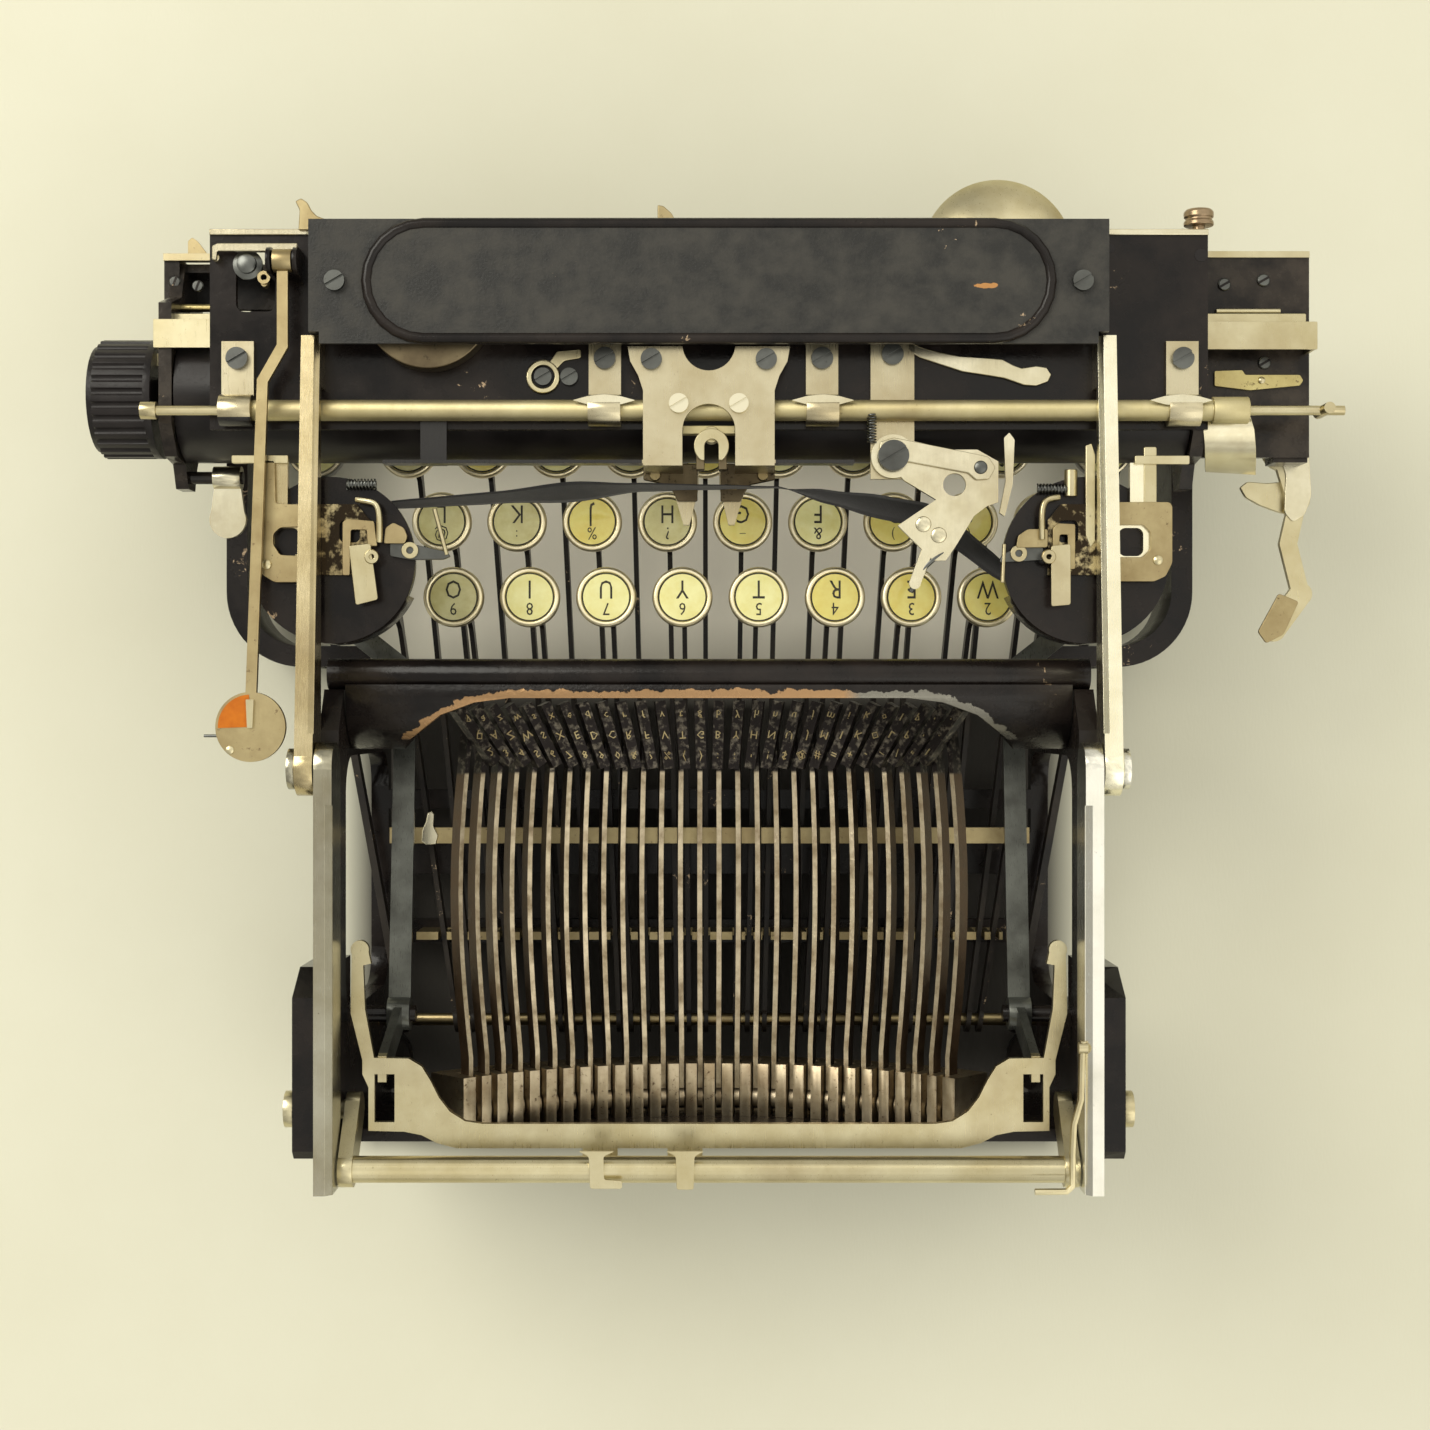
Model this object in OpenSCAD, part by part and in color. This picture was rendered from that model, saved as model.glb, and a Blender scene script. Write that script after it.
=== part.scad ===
// Three-bank folding portable typewriter, modelled folded, as it is carried.
// Millimetres. +X is the operator's right, +Y the rear, +Z up. Z = 0 is the table.

/* [Keyboard] */
// Distance between neighbouring keys of one bank
key_pitch = 18.5; // [18.2:0.1:18.8]
// Distance between two banks, front to back
bank_gap = 18.9; // [18:0.1:19.5]
// Height step between two banks
bank_step = 7.5; // [6.5:0.5:8]
// Height of the rear bank of key tops
key_top_z = 56; // [54:0.5:57]
// Outer diameter of a key ring
key_d = 14.6; // [13.5:0.1:15]
// Height of a key ring
key_h = 4; // [3:0.5:5]
// Thickness of a key lever
lever_t = 1.2; // [1:0.1:1.4]
// Depth of a key lever
lever_h = 4.4; // [3.5:0.1:4.8]
// Length of the space bar
space_len = 128; // [110:2:140]

/* [Base] */
// Width over the keyboard rim
rim_w = 245; // [240:1:248]
// Width of the rim wall
rim_t = 5.3; // [4.5:0.1:6.5]
// Height of the rim wall
rim_h = 23; // [20:0.5:24]
// Height of the rubber feet
foot_h = 7; // [6:0.5:8]
// Inner half width between the side walls
body_in = 84; // [83.5:0.1:84.5]
// Thickness of a side wall
side_t = 4.5; // [4:0.1:5]

/* [Fold] */
// Height of the fold hinge
fold_z = 96; // [95.5:0.1:97]
// Front to back place of the fold hinge
fold_y = 19.6; // [19.2:0.1:20]
// Thickness of the side rails and the carriage arms
arm_t = 4.1; // [3.6:0.1:4.3]
// Height of the side rails and the carriage arms
arm_h = 12; // [11:0.5:12.5]

/* [Type basket] */
// Number of typebars
bar_n = 28; // [26:2:28]
// Angle between two typebars
bar_step = 3; // [2.8:0.1:3.1]
// Thickness of a typebar
bar_t = 1.2; // [1:0.1:1.5]
// Width of a type slug
slug_w = 2.6; // [2:0.1:2.8]
// Length of a type slug
slug_l = 17; // [14:0.5:18]

/* [Carriage] */
// Platen diameter
platen_d = 30; // [28:0.5:30]
// Platen length
platen_len = 236; // [230:1:238]
// Platen knob diameter
knob_d = 28; // [24:0.5:30]
// Number of flutes round the platen knob
knob_flutes = 28; // [20:1:30]
// Half width of the frame plate
plate_half = 114.5; // [112:0.5:116]
// Ribbon spool cup diameter
cup_d = 38; // [34:0.5:39]
// Bell diameter
bell_d = 34.8; // [30:0.2:36]

/* [Hidden] */
$fn = 48;
fit = 0.05;
gap = 0.3;
seat = 0.02;

banks = [
    ["q", "w", "e", "r", "t", "y", "u", "i", "o", "p"],
    ["a", "s", "d", "f", "g", "h", "j", "k", "l"],
    ["z", "x", "c", "v", "b", "n", "m", "comma", "period"]
];
bank_mid = [-2.75, -8.2, 1.1];
bank_y0 = -21.1;
function key_x(b, i) = bank_mid[b] + (i - (len(banks[b]) - 1) / 2) * key_pitch;
function key_y(b) = bank_y0 - b * bank_gap;
function key_z(b) = key_top_z - b * bank_step;

// key levers turn on one shaft across the rear
shaft_y = 86;
shaft_z = 20;
shaft_r = 1.6;
squeeze = 0.81;
function lever_x(b, i, y) =
    key_x(b, i) * (squeeze + (1 - squeeze) * (shaft_y - y) / (shaft_y - key_y(b)));

rim_y0 = -100;
rim_y1 = -4.7;
rim_r = 19;
// arms of the space bar, at the shaft, at the front and where they pass the rim
space_in = 79;
space_x = rim_w / 2 - rim_t - 7.2;
slot_x = space_in + (space_x - space_in) * (shaft_y - rim_y1) / (shaft_y - rim_y0 - 16);
rim_top = foot_h + rim_h;
side_x1 = body_in + side_t;
wall_top = fold_z - arm_h / 2;
rear_y = 110;
comb_y = 64;

rail_x0 = body_in - 0.4;
rail_x1 = rail_x0 + arm_t;
arm_x0 = rail_x1 + gap;
arm_x1 = arm_x0 + arm_t;
rail_end = 114.2;
arm_bottom = fold_z - arm_h / 2;
arm_front = -78.3;
// the arms get lower towards the frame plate
arm_fall = arm_h - 3;
stud_r = 2.5;

platen_r = platen_d / 2;
platen_y = -67.5;
platen_z = 65;
// unfolded, the platen stands over the type segment
print_y = 2 * fold_y - platen_y - platen_r;
print_z = 2 * fold_z - platen_z;
pivot_y = 102.9;
bar_len = 90.5;
seg_r = sqrt(bar_len * bar_len - (pivot_y - print_y) * (pivot_y - print_y));
wire_r = 0.9;
slug_top = 4.9;

plate_z0 = platen_z + platen_r + 2.5;
plate_z1 = plate_z0 + 2;
plate_y0 = -102.7;
plate_y1 = -58;
tube_r = 2.4;
tube_y = -62;
tube_z = plate_z1 + tube_r + 0.3;
rod_r = 1.1;
cover_z1 = plate_z1 + 11.5;
bell_c = [-66, -97.5];
drum_c = [63.7, -85.6];
drum_d = 29.2;
strap_x = [plate_half - 6.7, 23.8, -25.9, -plate_half + 6.2];

cup_x = 86;
cup_y = -27.8;
cup_z1 = arm_bottom - 2.5;
spool_r = cup_d / 2 - 2;

truck_x0 = -112.4;
truck_x1 = truck_x0 + platen_len + 0.8;
end_t = 3;
knob_x = truck_x1 + 5.4;
slide_y0 = -86;
slide_y1 = -80;
slide_z0 = 74;
slide_z1 = 77;
hang_x = truck_x1 - 8.7;
hang_y = -49.5;
hang_z = 59.5;
swing_x = -137.5;
swing_y = -56;

shift_y = 80;
shift_z = 54;
shift_x = 75.2;
shift_tilt = 8;
shift_key_x = 98;

bail_y = 98.3;
bail_z = wall_top - 8;
bail_rod_y = 110;
bail_rod_z = wall_top + 3;

// outline given as (y, z), drawn out along +X
module along_x(x0, x1) {
    translate([x0, 0, 0]) rotate([90, 0, 90]) linear_extrude(x1 - x0) children();
}

// outline given as (x, y), drawn up along +Z
module along_z(z0, z1) {
    translate([0, 0, z0]) linear_extrude(z1 - z0) children();
}

module rod_x(x0, x1, y, z, r) {
    translate([x0, y, z]) rotate([0, 90, 0]) cylinder(r = r, h = x1 - x0);
}

module rod_z(x, y, z0, z1, r) {
    translate([x, y, z0]) cylinder(r = r, h = z1 - z0);
}

module block(x0, x1, y0, y1, z0, z1) {
    translate([x0, y0, z0]) cube([x1 - x0, y1 - y0, z1 - z0]);
}

module both_sides() {
    children();
    mirror([1, 0, 0]) children();
}

module round_box(w, d, r) {
    square([w - 2 * r, d], center = true);
    square([w, d - 2 * r], center = true);
    for (sx = [-1, 1], sy = [-1, 1])
        translate([sx * (w / 2 - r), sy * (d / 2 - r)]) circle(r);
}

// flat strip between two plan points with round ends, which stand a hair proud of its sides
module strip(a, b, w) {
    d = b - a;
    side = w - 0.06;
    translate(a) rotate(atan2(d[1], d[0])) translate([0, -side / 2]) square([norm(d), side]);
    translate(a) circle(w / 2);
    translate(b) circle(w / 2);
}

module keyboard_rim() {
    depth = rim_y1 - rim_y0;
    difference() {
        translate([0, (rim_y0 + rim_y1) / 2, foot_h]) linear_extrude(rim_h) difference() {
            round_box(rim_w, depth, rim_r);
            round_box(rim_w - 2 * rim_t, depth - 2 * rim_t, rim_r - rim_t);
        }
        // key levers leave through the rear of the rim
        block(-body_in - 2, body_in + 2, rim_y1 - rim_t - 1, rim_y1 + 1, foot_h - 1, rim_top + 1);
        // space bar arms
        both_sides() block(slot_x - 5, slot_x + 5, rim_y1 - rim_t - 1, rim_y1 + 1, foot_h + 3, rim_top - 4);
    }
}

module side_wall() {
    along_x(body_in, side_x1) difference() {
        polygon([
            [1.6, foot_h], [rear_y, foot_h], [rear_y, wall_top - 8], [rear_y - 6, wall_top],
            [11, wall_top], [1.6, wall_top - 7]
        ]);
        translate([47, (foot_h + 5 + wall_top - 10) / 2]) round_box(60, wall_top - foot_h - 15, 9);
    }
}

// clear way of a space bar arm, at rest and pressed
module space_arm_way() {
    front = rim_y0 + 16;
    reach = norm([space_x - space_in, shaft_y - front]);
    translate([space_in, shaft_y, shaft_z]) rotate([0, 0, atan2(space_x - space_in, shaft_y - front)])
        block(-1.9, 1.9, -reach, 0, -7, 4);
}

module base_casting() {
    color("#1b1a19") difference() {
        union() {
            keyboard_rim();
            both_sides() {
                side_wall();
                // toe that joins the side wall to the rim
                block(body_in + 2, body_in + 7, rim_y1 - rim_t, 8, foot_h, rim_top);
                // ear of the latch bail
                along_x(side_x1 - 1, side_x1 + 6.5) polygon([
                    [66, 52], [106, 52], [109, 56], [109, wall_top - 4], [107, wall_top - 2],
                    [72, wall_top - 2], [66, wall_top - 12]
                ]);
                // stud of the shift levers
                rod_x(shift_x - 4, body_in + 1, shift_y, shift_z, 2);
                // front corner pad over the foot
                rod_z(rim_w / 2 - rim_r, rim_y0 + rim_r, foot_h, foot_h + 2.5, rim_r - rim_t + 1);
                // rear pad over the foot
                rod_z(body_in + side_t / 2, 98, foot_h, foot_h + 5, 8);
            }
            // low cross bars between the side walls
            block(-body_in - 1, body_in + 1, 27, 32, foot_h, foot_h + 5);
            block(-body_in - 1, body_in + 1, 38, 49, foot_h, foot_h + 5);
            block(-body_in - 1, body_in + 1, comb_y - 3, comb_y + 3, foot_h, foot_h + 5);
            // rear wall behind the type segment
            block(-body_in - 1, body_in + 1, rear_y - 3, rear_y, foot_h, 60);
        }
        both_sides() {
            rod_x(body_in - 1, side_x1 + 8, bail_y, bail_z, 2.3);
            space_arm_way();
        }
    }
}

module type_rest() {
    cowl_r = 14;
    cowl_z = 69;
    color("#1f1d1c") {
        // half round front bar
        along_x(-side_x1 + 0.5, side_x1 - 0.5) {
            translate([-5.5, 66]) square([7.1, cowl_z + cowl_r - 69.55]);
            translate([-1.95, cowl_z + cowl_r - 3.55]) circle(3.55);
        }
        // quarter round cowl with the scallop over the type slugs
        difference() {
            along_x(-body_in + gap, body_in - gap) intersection() {
                translate([1.5, cowl_z]) difference() {
                    circle(cowl_r);
                    circle(cowl_r - 2.4);
                }
                translate([0.5, cowl_z]) square([cowl_r + 2, cowl_r + 2]);
            }
            along_z(50, 100) polygon([
                [-73, 17], [-70, 13.5], [-62, 7.5], [-54, 4.6], [-46, 3.6],
                [46, 3.6], [54, 4.6], [62, 7.5], [70, 13.5], [73, 17]
            ]);
        }
    }
}

// plan wedge below the print point, as wide as the typebar fan
module fan_wedge(a, r) {
    polygon([[0, 0], [-r * tan(a), -r], [r * tan(a), -r]]);
}

module seg_ring(r0, r1, a) {
    intersection() {
        difference() {
            circle(r1, $fn = 96);
            circle(r0, $fn = 96);
        }
        fan_wedge(a, r1 + 5);
    }
}

// places its children, drawn at the pivot, at angle a of the fan
module on_fan(a) {
    translate([0, pivot_y, print_z]) rotate([0, a, 0]) translate([0, 0, -seg_r]) children();
}

function bar_a(i) = (i - (bar_n - 1) / 2) * bar_step;
strike_i = bar_n / 2;

module type_segment() {
    fan = bar_a(bar_n - 1);
    color("#8f8a80") {
        translate([0, rear_y - 3, print_z]) rotate([90, 0, 0]) difference() {
            linear_extrude(13) difference() {
                seg_ring(seg_r - 5, seg_r + 8, fan + 3);
                for (i = [0:bar_n - 1])
                    rotate(bar_a(i)) translate([-0.9, -seg_r - 3.5]) square([1.8, 12]);
            }
            // groove that holds the fulcrum wire
            translate([0, 0, -1]) linear_extrude(rear_y - 3 - pivot_y + 1 + wire_r + fit)
                seg_ring(seg_r - wire_r - fit, seg_r + wire_r + fit, fan + 4);
        }
        // fulcrum wire of the typebars
        translate([0, pivot_y, print_z]) rotate([90, 0, 0]) rotate([0, 0, -90 - fan - 2])
            rotate_extrude(angle = 2 * fan + 4, $fn = 96) translate([seg_r, 0]) circle(wire_r);
    }
}

// one typebar, pivot at the origin, lying forward, type face up
module typebar(a) {
    n = 10;
    root = 13;
    tip = bar_len + 1.5;
    bow = -a / 40 * 3;
    function at(i, side) = [
        bow * sin(180 * i / n) + side * bar_t / 2, -root - (tip - root) * i / n
    ];
    left = [for (i = [0:n]) at(i, -1)];
    right = [for (i = [n:-1:0]) at(i, 1)];
    difference() {
        union() {
            translate([0, 0, -1.7]) linear_extrude(3.4)
                polygon(concat([[bar_t / 2, 2.2], [-bar_t / 2, 2.2]], left, right));
            rod_x(-bar_t / 2, bar_t / 2, 0, 0, 2.9);
            // neck and slug, turned so that it prints upright
            translate([0, -bar_len, 1.6]) cube([bar_t, 3, 2], center = true);
            translate([0, -bar_len, slug_top - 1.5]) rotate([0, 0, -a])
                cube([slug_w, slug_l, 3], center = true);
        }
        rod_x(-2, 2, 0, 0, wire_r + 0.08);
    }
}

module typebars() {
    color("#4a4540") for (i = [0:bar_n - 1])
        if (i != strike_i) on_fan(bar_a(i)) typebar(bar_a(i));
}

module strike_typebar() {
    color("#4a4540") on_fan(bar_a(strike_i)) typebar(bar_a(strike_i));
}

module lever_comb() {
    color("#8a857c") {
        rod_x(-body_in, body_in, shaft_y, shaft_z, shaft_r);
        difference() {
            block(-75, 75, comb_y - 1, comb_y + 1, foot_h + 5, 25);
            for (b = [0:2], i = [0:len(banks[b]) - 1])
                block(lever_x(b, i, comb_y) - 1.1, lever_x(b, i, comb_y) + 1.1,
                      comb_y - 2, comb_y + 2, 13.5, 26);
        }
        // tie bar across the basket on two posts
        block(-81, 81, 36, 40, 28, 31);
        both_sides() block(78, 81, 36, 40, foot_h + 5, 29);
    }
}

module side_rail() {
    difference() {
        union() {
            block(rail_x0, rail_x1, fold_y, rail_end, arm_bottom, arm_bottom + arm_h);
            rod_x(rail_x0, rail_x1, fold_y, fold_z, arm_h / 2);
            rod_x(rail_x0 + 0.5, arm_x1 + gap, fold_y, fold_z, stud_r);
        }
        // bevelled inner top edge
        translate([rail_x0 - 1.3, fold_y + 8, arm_bottom + arm_h]) rotate([0, 45, 0]) cube([2, 120, 2]);
    }
    rod_x(arm_x1 + gap, arm_x1 + 2, fold_y, fold_z, 4.6);
}

module side_rails() {
    color("#c9bfa6") both_sides() side_rail();
}

module rubber_feet() {
    color("#2a2826") both_sides() {
        rod_z(rim_w / 2 - rim_r, rim_y0 + rim_r, 0, foot_h, 8);
        rod_z(body_in + side_t / 2, 98, 0, foot_h, 7);
    }
}

// swept end of the yoke with the hook beside the rail
module yoke_half() {
    x1 = body_in - 4.4;
    polygon([
        [-1, 101.4], [52, 101.4], [56, 100.8], [59.5, 98.6], [62, 95.4], [64, 91.4], [66, 88.2], [69, 86.4],
        [x1, 86.2], [x1, 90], [x1 - 1.4, 93], [x1 - 1.4, 103], [70, 103.2], [66, 104], [62.5, 105.8],
        [58, 107], [-1, 107]
    ]);
    polygon([
        [x1 - 3, 88], [x1 - 0.6, 75], [x1 - 0.2, 65], [x1 - 2, 64.6], [x1 - 1.2, 61], [x1 + 2.4, 61],
        [x1 + 2.7, 76], [x1 - 0.3, 88]
    ]);
    translate([x1 + 0.6, 61.4]) circle(2.1);
}

module shift_frame() {
    color("#8c8880") difference() {
        union() {
            // levers, tipped down to the front
            translate([0, shift_y, shift_z]) rotate([shift_tilt, 0, 0]) both_sides() {
                along_z(-0.8, 0.8) {
                    strip([shift_x, 0], [shift_x, -84], 5.4);
                    strip([shift_x, -84], [shift_key_x, -102], 5.4);
                    strip([shift_key_x, -102], [shift_key_x, -141], 5.4);
                }
                rod_x(shift_x - 2.7, shift_x + 2.7, 0, 0, 4);
            }
            both_sides() {
                for (b = [1, 2]) rod_z(shift_key_x, key_y(b), shift_z - 22, key_z(b) - key_h + 0.5, 2);
                for (b = [1, 2]) rod_z(shift_key_x, key_y(b), key_z(b) - key_h, key_z(b), key_d / 2);
                // uprights to the yoke
                along_x(shift_x - 1, shift_x + 1) polygon([
                    [shift_y - 3, shift_z], [shift_y + 3, shift_z - 2], [92, 83], [86, 83]
                ]);
            }
            // nickel yoke over the segment
            along_z(82, 84) difference() {
                union() {
                    both_sides() yoke_half();
                    translate([21, 102.5]) square([8, 11.5]);
                    translate([1.5, 102.5]) square([8, 11.5]);
                }
                translate([25, 111]) circle(1.8);
                translate([5.5, 111]) circle(1.8);
                both_sides() translate([shift_x - 3, 90]) square([4.6, 11]);
            }
        }
        rod_x(-body_in, body_in, shift_y, shift_z, 2 + fit);
        // clear below the row of stems
        block(-120, 120, -70, -30, 0, 32);
    }
}

module space_arm() {
    x1 = space_in;
    x0 = space_x;
    y0 = rim_y0 + 16;
    reach = norm([x0 - x1, shaft_y - y0]);
    difference() {
        translate([x1, shaft_y, shaft_z]) rotate([0, 0, atan2(x0 - x1, shaft_y - y0)])
            along_x(-0.9, 0.9) {
                translate([-reach, -2.2]) square([reach, 4.4]);
                circle(3.6);
            }
        rod_x(0, 120, shaft_y, shaft_z, shaft_r + fit);
    }
}

module space_bar() {
    y0 = rim_y0 + 16;
    color("#2b2826") {
        both_sides() space_arm();
        // cross bar and stems under the space bar
        difference() {
            block(-space_x - 1, space_x + 1, y0 - 2, y0 + 1.5, shaft_z - 2.2, shaft_z + 2.2);
            both_sides() space_arm();
        }
        both_sides() block(38, 42, y0 - 2, y0 + 1.5, shaft_z + 2.2, 30);
        along_x(-space_len / 2, space_len / 2) {
            translate([y0 - 5, 30]) square([10, 2]);
            translate([y0, 32]) intersection() {
                circle(5);
                translate([-5, 0]) square([10, 3]);
            }
        }
    }
}

module latch_bail() {
    color("#c9bfa6") {
        rod_x(-body_in + 2, body_in - 2, bail_rod_y, bail_rod_z, 3);
        both_sides() {
            along_x(body_in - 4, rail_x0 - gap) {
                strip([bail_y, bail_z], [bail_rod_y, bail_rod_z], 8);
            }
            rod_x(body_in - 4, side_x1 + 6.6, bail_y, bail_z, 2.2);
            rod_x(side_x1 + 6.6, side_x1 + 9, bail_y, bail_z, 4.2);
        }
    }
}

module carriage_arm() {
    difference() {
        union() {
            along_x(arm_x0, arm_x1) polygon([
                [arm_front, arm_bottom], [fold_y, arm_bottom], [fold_y, arm_bottom + arm_h - 0.5],
                [arm_front, arm_bottom + arm_h - 0.5 - arm_fall]
            ]);
            rod_x(arm_x0, arm_x1, fold_y, fold_z, arm_h / 2);
            // foot on the frame plate
            block(arm_x0, arm_x1, arm_front, tube_y - 5, plate_z1, arm_bottom);
        }
        rod_x(arm_x0 - 1, arm_x1 + 1, fold_y, fold_z, stud_r + fit);
        // bevelled inner top edge
        translate([arm_x0 - 1.1, fold_y - 8, arm_bottom + arm_h - 0.5 - 8 * arm_fall / (fold_y - arm_front)])
            rotate([atan2(arm_fall, fold_y - arm_front), 0, 0])
                translate([0, -130, 0]) rotate([0, 45, 0]) cube([1.6, 130, 1.6]);
    }
    // nickel spool bracket under the arm
    along_z(arm_bottom - 2.5, arm_bottom - 0.5) difference() {
        union() {
            polygon([
                [cup_x - 9, cup_y + 3.5], [cup_x - 9, cup_y - 9], [cup_x - 6, cup_y - 12.6],
                [cup_x + 16.4, cup_y - 12.6], [cup_x + 16.4, cup_y + 1], [cup_x + 13.9, cup_y + 3.5]
            ]);
            translate([cup_x + 9.7, cup_y - 22]) square([5.8, 12]);
        }
        // windows over the ribbon spool
        translate([cup_x + 9.9, cup_y - 4]) round_box(5.6, 6.4, 1.6);
        translate([cup_x - 4.4, cup_y - 6.4]) round_box(4.6, 5, 1.2);
    }
    block(arm_x0, arm_x1, cup_y - 11, cup_y + 2.5, arm_bottom - 1, arm_bottom);
}

module carriage_arms() {
    color("#c9bfa6") both_sides() carriage_arm();
}

module slide_guide() {
    along_x(9, 19) {
        translate([slide_y0 - 3, slide_z1 + gap]) square([11, plate_z0 - slide_z1 - gap + 0.5]);
        translate([slide_y0 - 3, slide_z0 - 3]) square([3 - gap, 7]);
        translate([slide_y0 - 3, slide_z0 - 3]) square([6.5, 3 - gap]);
        translate([slide_y1 + gap, slide_z1 - 0.7]) square([1.7, 3]);
    }
}

module frame_plate() {
    hx = [92.6, 98.6];
    color("#1b1a19") difference() {
        union() {
            block(-plate_half, plate_half, plate_y0, plate_y1, plate_z0, plate_z1);
            both_sides() slide_guide();
            // hinge cheeks of the color lever
            for (x = hx) along_x(x, x + 1) {
                translate([-98, plate_z1 - 0.5]) square([6, 9]);
                translate([-95, plate_z1 + 8.5]) circle(3);
            }
            rod_x(hx[0], hx[1] + 1, -95, plate_z1 + 8.5, 1.2);
            // post of the mainspring drum and of the bell
            rod_z(drum_c[0], drum_c[1], plate_z1 - 1, plate_z1 + 9, 2.5);
            rod_z(bell_c[0], bell_c[1], plate_z1 - 1, plate_z1 + 7.15, 2.5);
        }
        // window beside the cover
        translate([plate_half - 10.5, -92, plate_z0 - 1]) linear_extrude(4) round_box(9, 14, 2);
        // notch behind the centre bracket
        translate([0, plate_y1, plate_z0 - 1]) cylinder(r = 9, h = 4);
    }
}

module back_cover() {
    x1 = 90;
    y0 = -104;
    y1 = -76;
    color("#211f1e") difference() {
        union() {
            // top sheet and two end walls
            block(-x1, x1, y0, y1, cover_z1 - 2, cover_z1 - 0.8);
            both_sides() block(x1 - 1.4, x1, y0 + 4, y1, plate_z1, cover_z1 - 2);
            // raised oval
            along_z(cover_z1 - 0.9, cover_z1) {
                strip([-64, (y0 + y1) / 2], [64, (y0 + y1) / 2], 25);
            }
        }
        // room for the ends of the arms
        both_sides() block(arm_x0 - 0.4, x1 + 1, arm_front - 0.4, y1 + 1, plate_z1 - 1, cover_z1 + 1);
    }
}

module rail_tube() {
    color("#c9bfa6") difference() {
        union() {
            rod_x(-123, 111, tube_y, tube_z, tube_r);
            rod_x(-123, -plate_half - gap, tube_y, tube_z, tube_r + 0.7);
        }
        rod_x(-130, 120, tube_y, tube_z, rod_r + fit);
    }
}

// strap that hangs the tube on the plate
module strap(x, w, y0) {
    difference() {
        union() {
            block(x - w / 2, x + w / 2, y0, tube_y, plate_z1, plate_z1 + 1.6);
            rod_x(x - w / 2, x + w / 2, tube_y, tube_z, tube_r + 1.2);
        }
        rod_x(x - w, x + w, tube_y, tube_z, tube_r + fit);
        block(x - w, x + w, tube_y - 9, tube_y + 9, plate_z1 - 9, plate_z1);
    }
}

module centre_bracket() {
    top = tube_z + tube_r + 0.2;
    difference() {
        union() {
            along_z(top, top + 1.5) polygon([
                [-18.4, -76], [18.4, -76], [17.8, -72.6], [16, -69.4], [14.9, -66], [14.9, -49],
                [-14.9, -49], [-14.9, -66], [-16, -69.4], [-17.8, -72.6]
            ]);
            both_sides() block(8, 15, -75.5, -69, plate_z1, top + 1);
            // legs down to the type guide
            both_sides() block(6, 14.9, -50.5, -49, 70, top + 1);
            // tapered type guide prongs
            both_sides() along_z(70, 72) polygon([
                [2.4, -50.5], [9, -50.5], [8.6, -46], [6, -37.2], [4.6, -37.2], [2.4, -46]
            ]);
        }
        translate([0, -76.5, 60]) cylinder(r = 6, h = 60);
        // opening for the typebar
        block(-6, 6, -57, -40, 73, top + 5);
        translate([0, -57, 60]) cylinder(r = 6, h = 60);
    }
}

module rail_brackets() {
    color("#c9bfa6") {
        for (x = strap_x) strap(x, 7.4, -78);
        centre_bracket();
        // long strap that carries the vibrator lever
        difference() {
            block(-47, -37, -78, -46.5, plate_z1, plate_z1 + 1.4);
            rod_x(-60, -20, tube_y, tube_z, tube_r + 0.1);
        }
        rod_z(-42, -51.5, plate_z1 + 1.4, plate_z1 + 4.2, 1.8);
        // line scales beside the centre bracket
        block(13.5, 74, -50.4, -49.6, plate_z1 + 1, plate_z1 + 6);
        block(-33, -13.5, -50.4, -49.6, plate_z1 + 1, plate_z1 + 6);
        block(60, 66, -60, -49.6, plate_z1, plate_z1 + 1.5);
    }
}

module screw(x, y, z, d, h = 1.4) {
    difference() {
        rod_z(x, y, z, z + h, d / 2);
        translate([x, y, z + h - 0.2]) rotate([0, 0, 30]) cube([d + 1, 0.7, 1], center = true);
    }
}

module frame_screws() {
    top = tube_z + tube_r + 1.7;
    color("#d3c8ae") {
        for (x = strap_x) screw(x, -74, plate_z1 + 1.6, 5);
        for (x = [-13, 13]) screw(x, -73, top, 4.8);
        for (x = [-6.8, 6.8]) screw(x, -63, top, 4.4);
        screw(-42, -75, plate_z1 + 1.4, 5);
        screw(-42, -51.5, plate_z1 + 4.2, 7);
        for (x = [-1, 1]) screw(x * 84, -90, cover_z1 - 0.8, 4.6);
        for (x = [38, 32]) screw(x, -70, plate_z1, 4);
        screw(bell_c[0], bell_c[1], plate_z1 + 8.25, 5, 1.1);
    }
}

module bell() {
    h = 7;
    a = bell_d / 2;
    rs = (a * a + h * h) / (2 * h);
    z0 = plate_z1 + 1.5;
    color("#d0c6b0") difference() {
        translate([bell_c[0], bell_c[1], z0 + h - rs]) difference() {
            sphere(rs, $fn = 96);
            sphere(rs - 1.2, $fn = 96);
        }
        block(-200, 200, -200, 0, z0 - 80, z0);
        block(-200, 200, -200, 0, z0 + h - 0.25, z0 + 80);
        rod_z(bell_c[0], bell_c[1], z0, z0 + 20, 1);
    }
}

module spool_cup() {
    difference() {
        rod_z(cup_x, cup_y, cup_z1 - 12, cup_z1, cup_d / 2);
        rod_z(cup_x, cup_y, cup_z1 - 13, cup_z1 - 2, cup_d / 2 - 1.2);
        // mouth for the ribbon
        block(cup_x - 40, cup_x - 6, cup_y - 40, cup_y + 8, cup_z1 - 20, cup_z1 - 2);
    }
    rod_z(cup_x, cup_y, cup_z1 - 18, cup_z1 - 1, 2.5);
}

module spool_cups() {
    color("#1f1d1c") both_sides() spool_cup();
}

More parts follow.
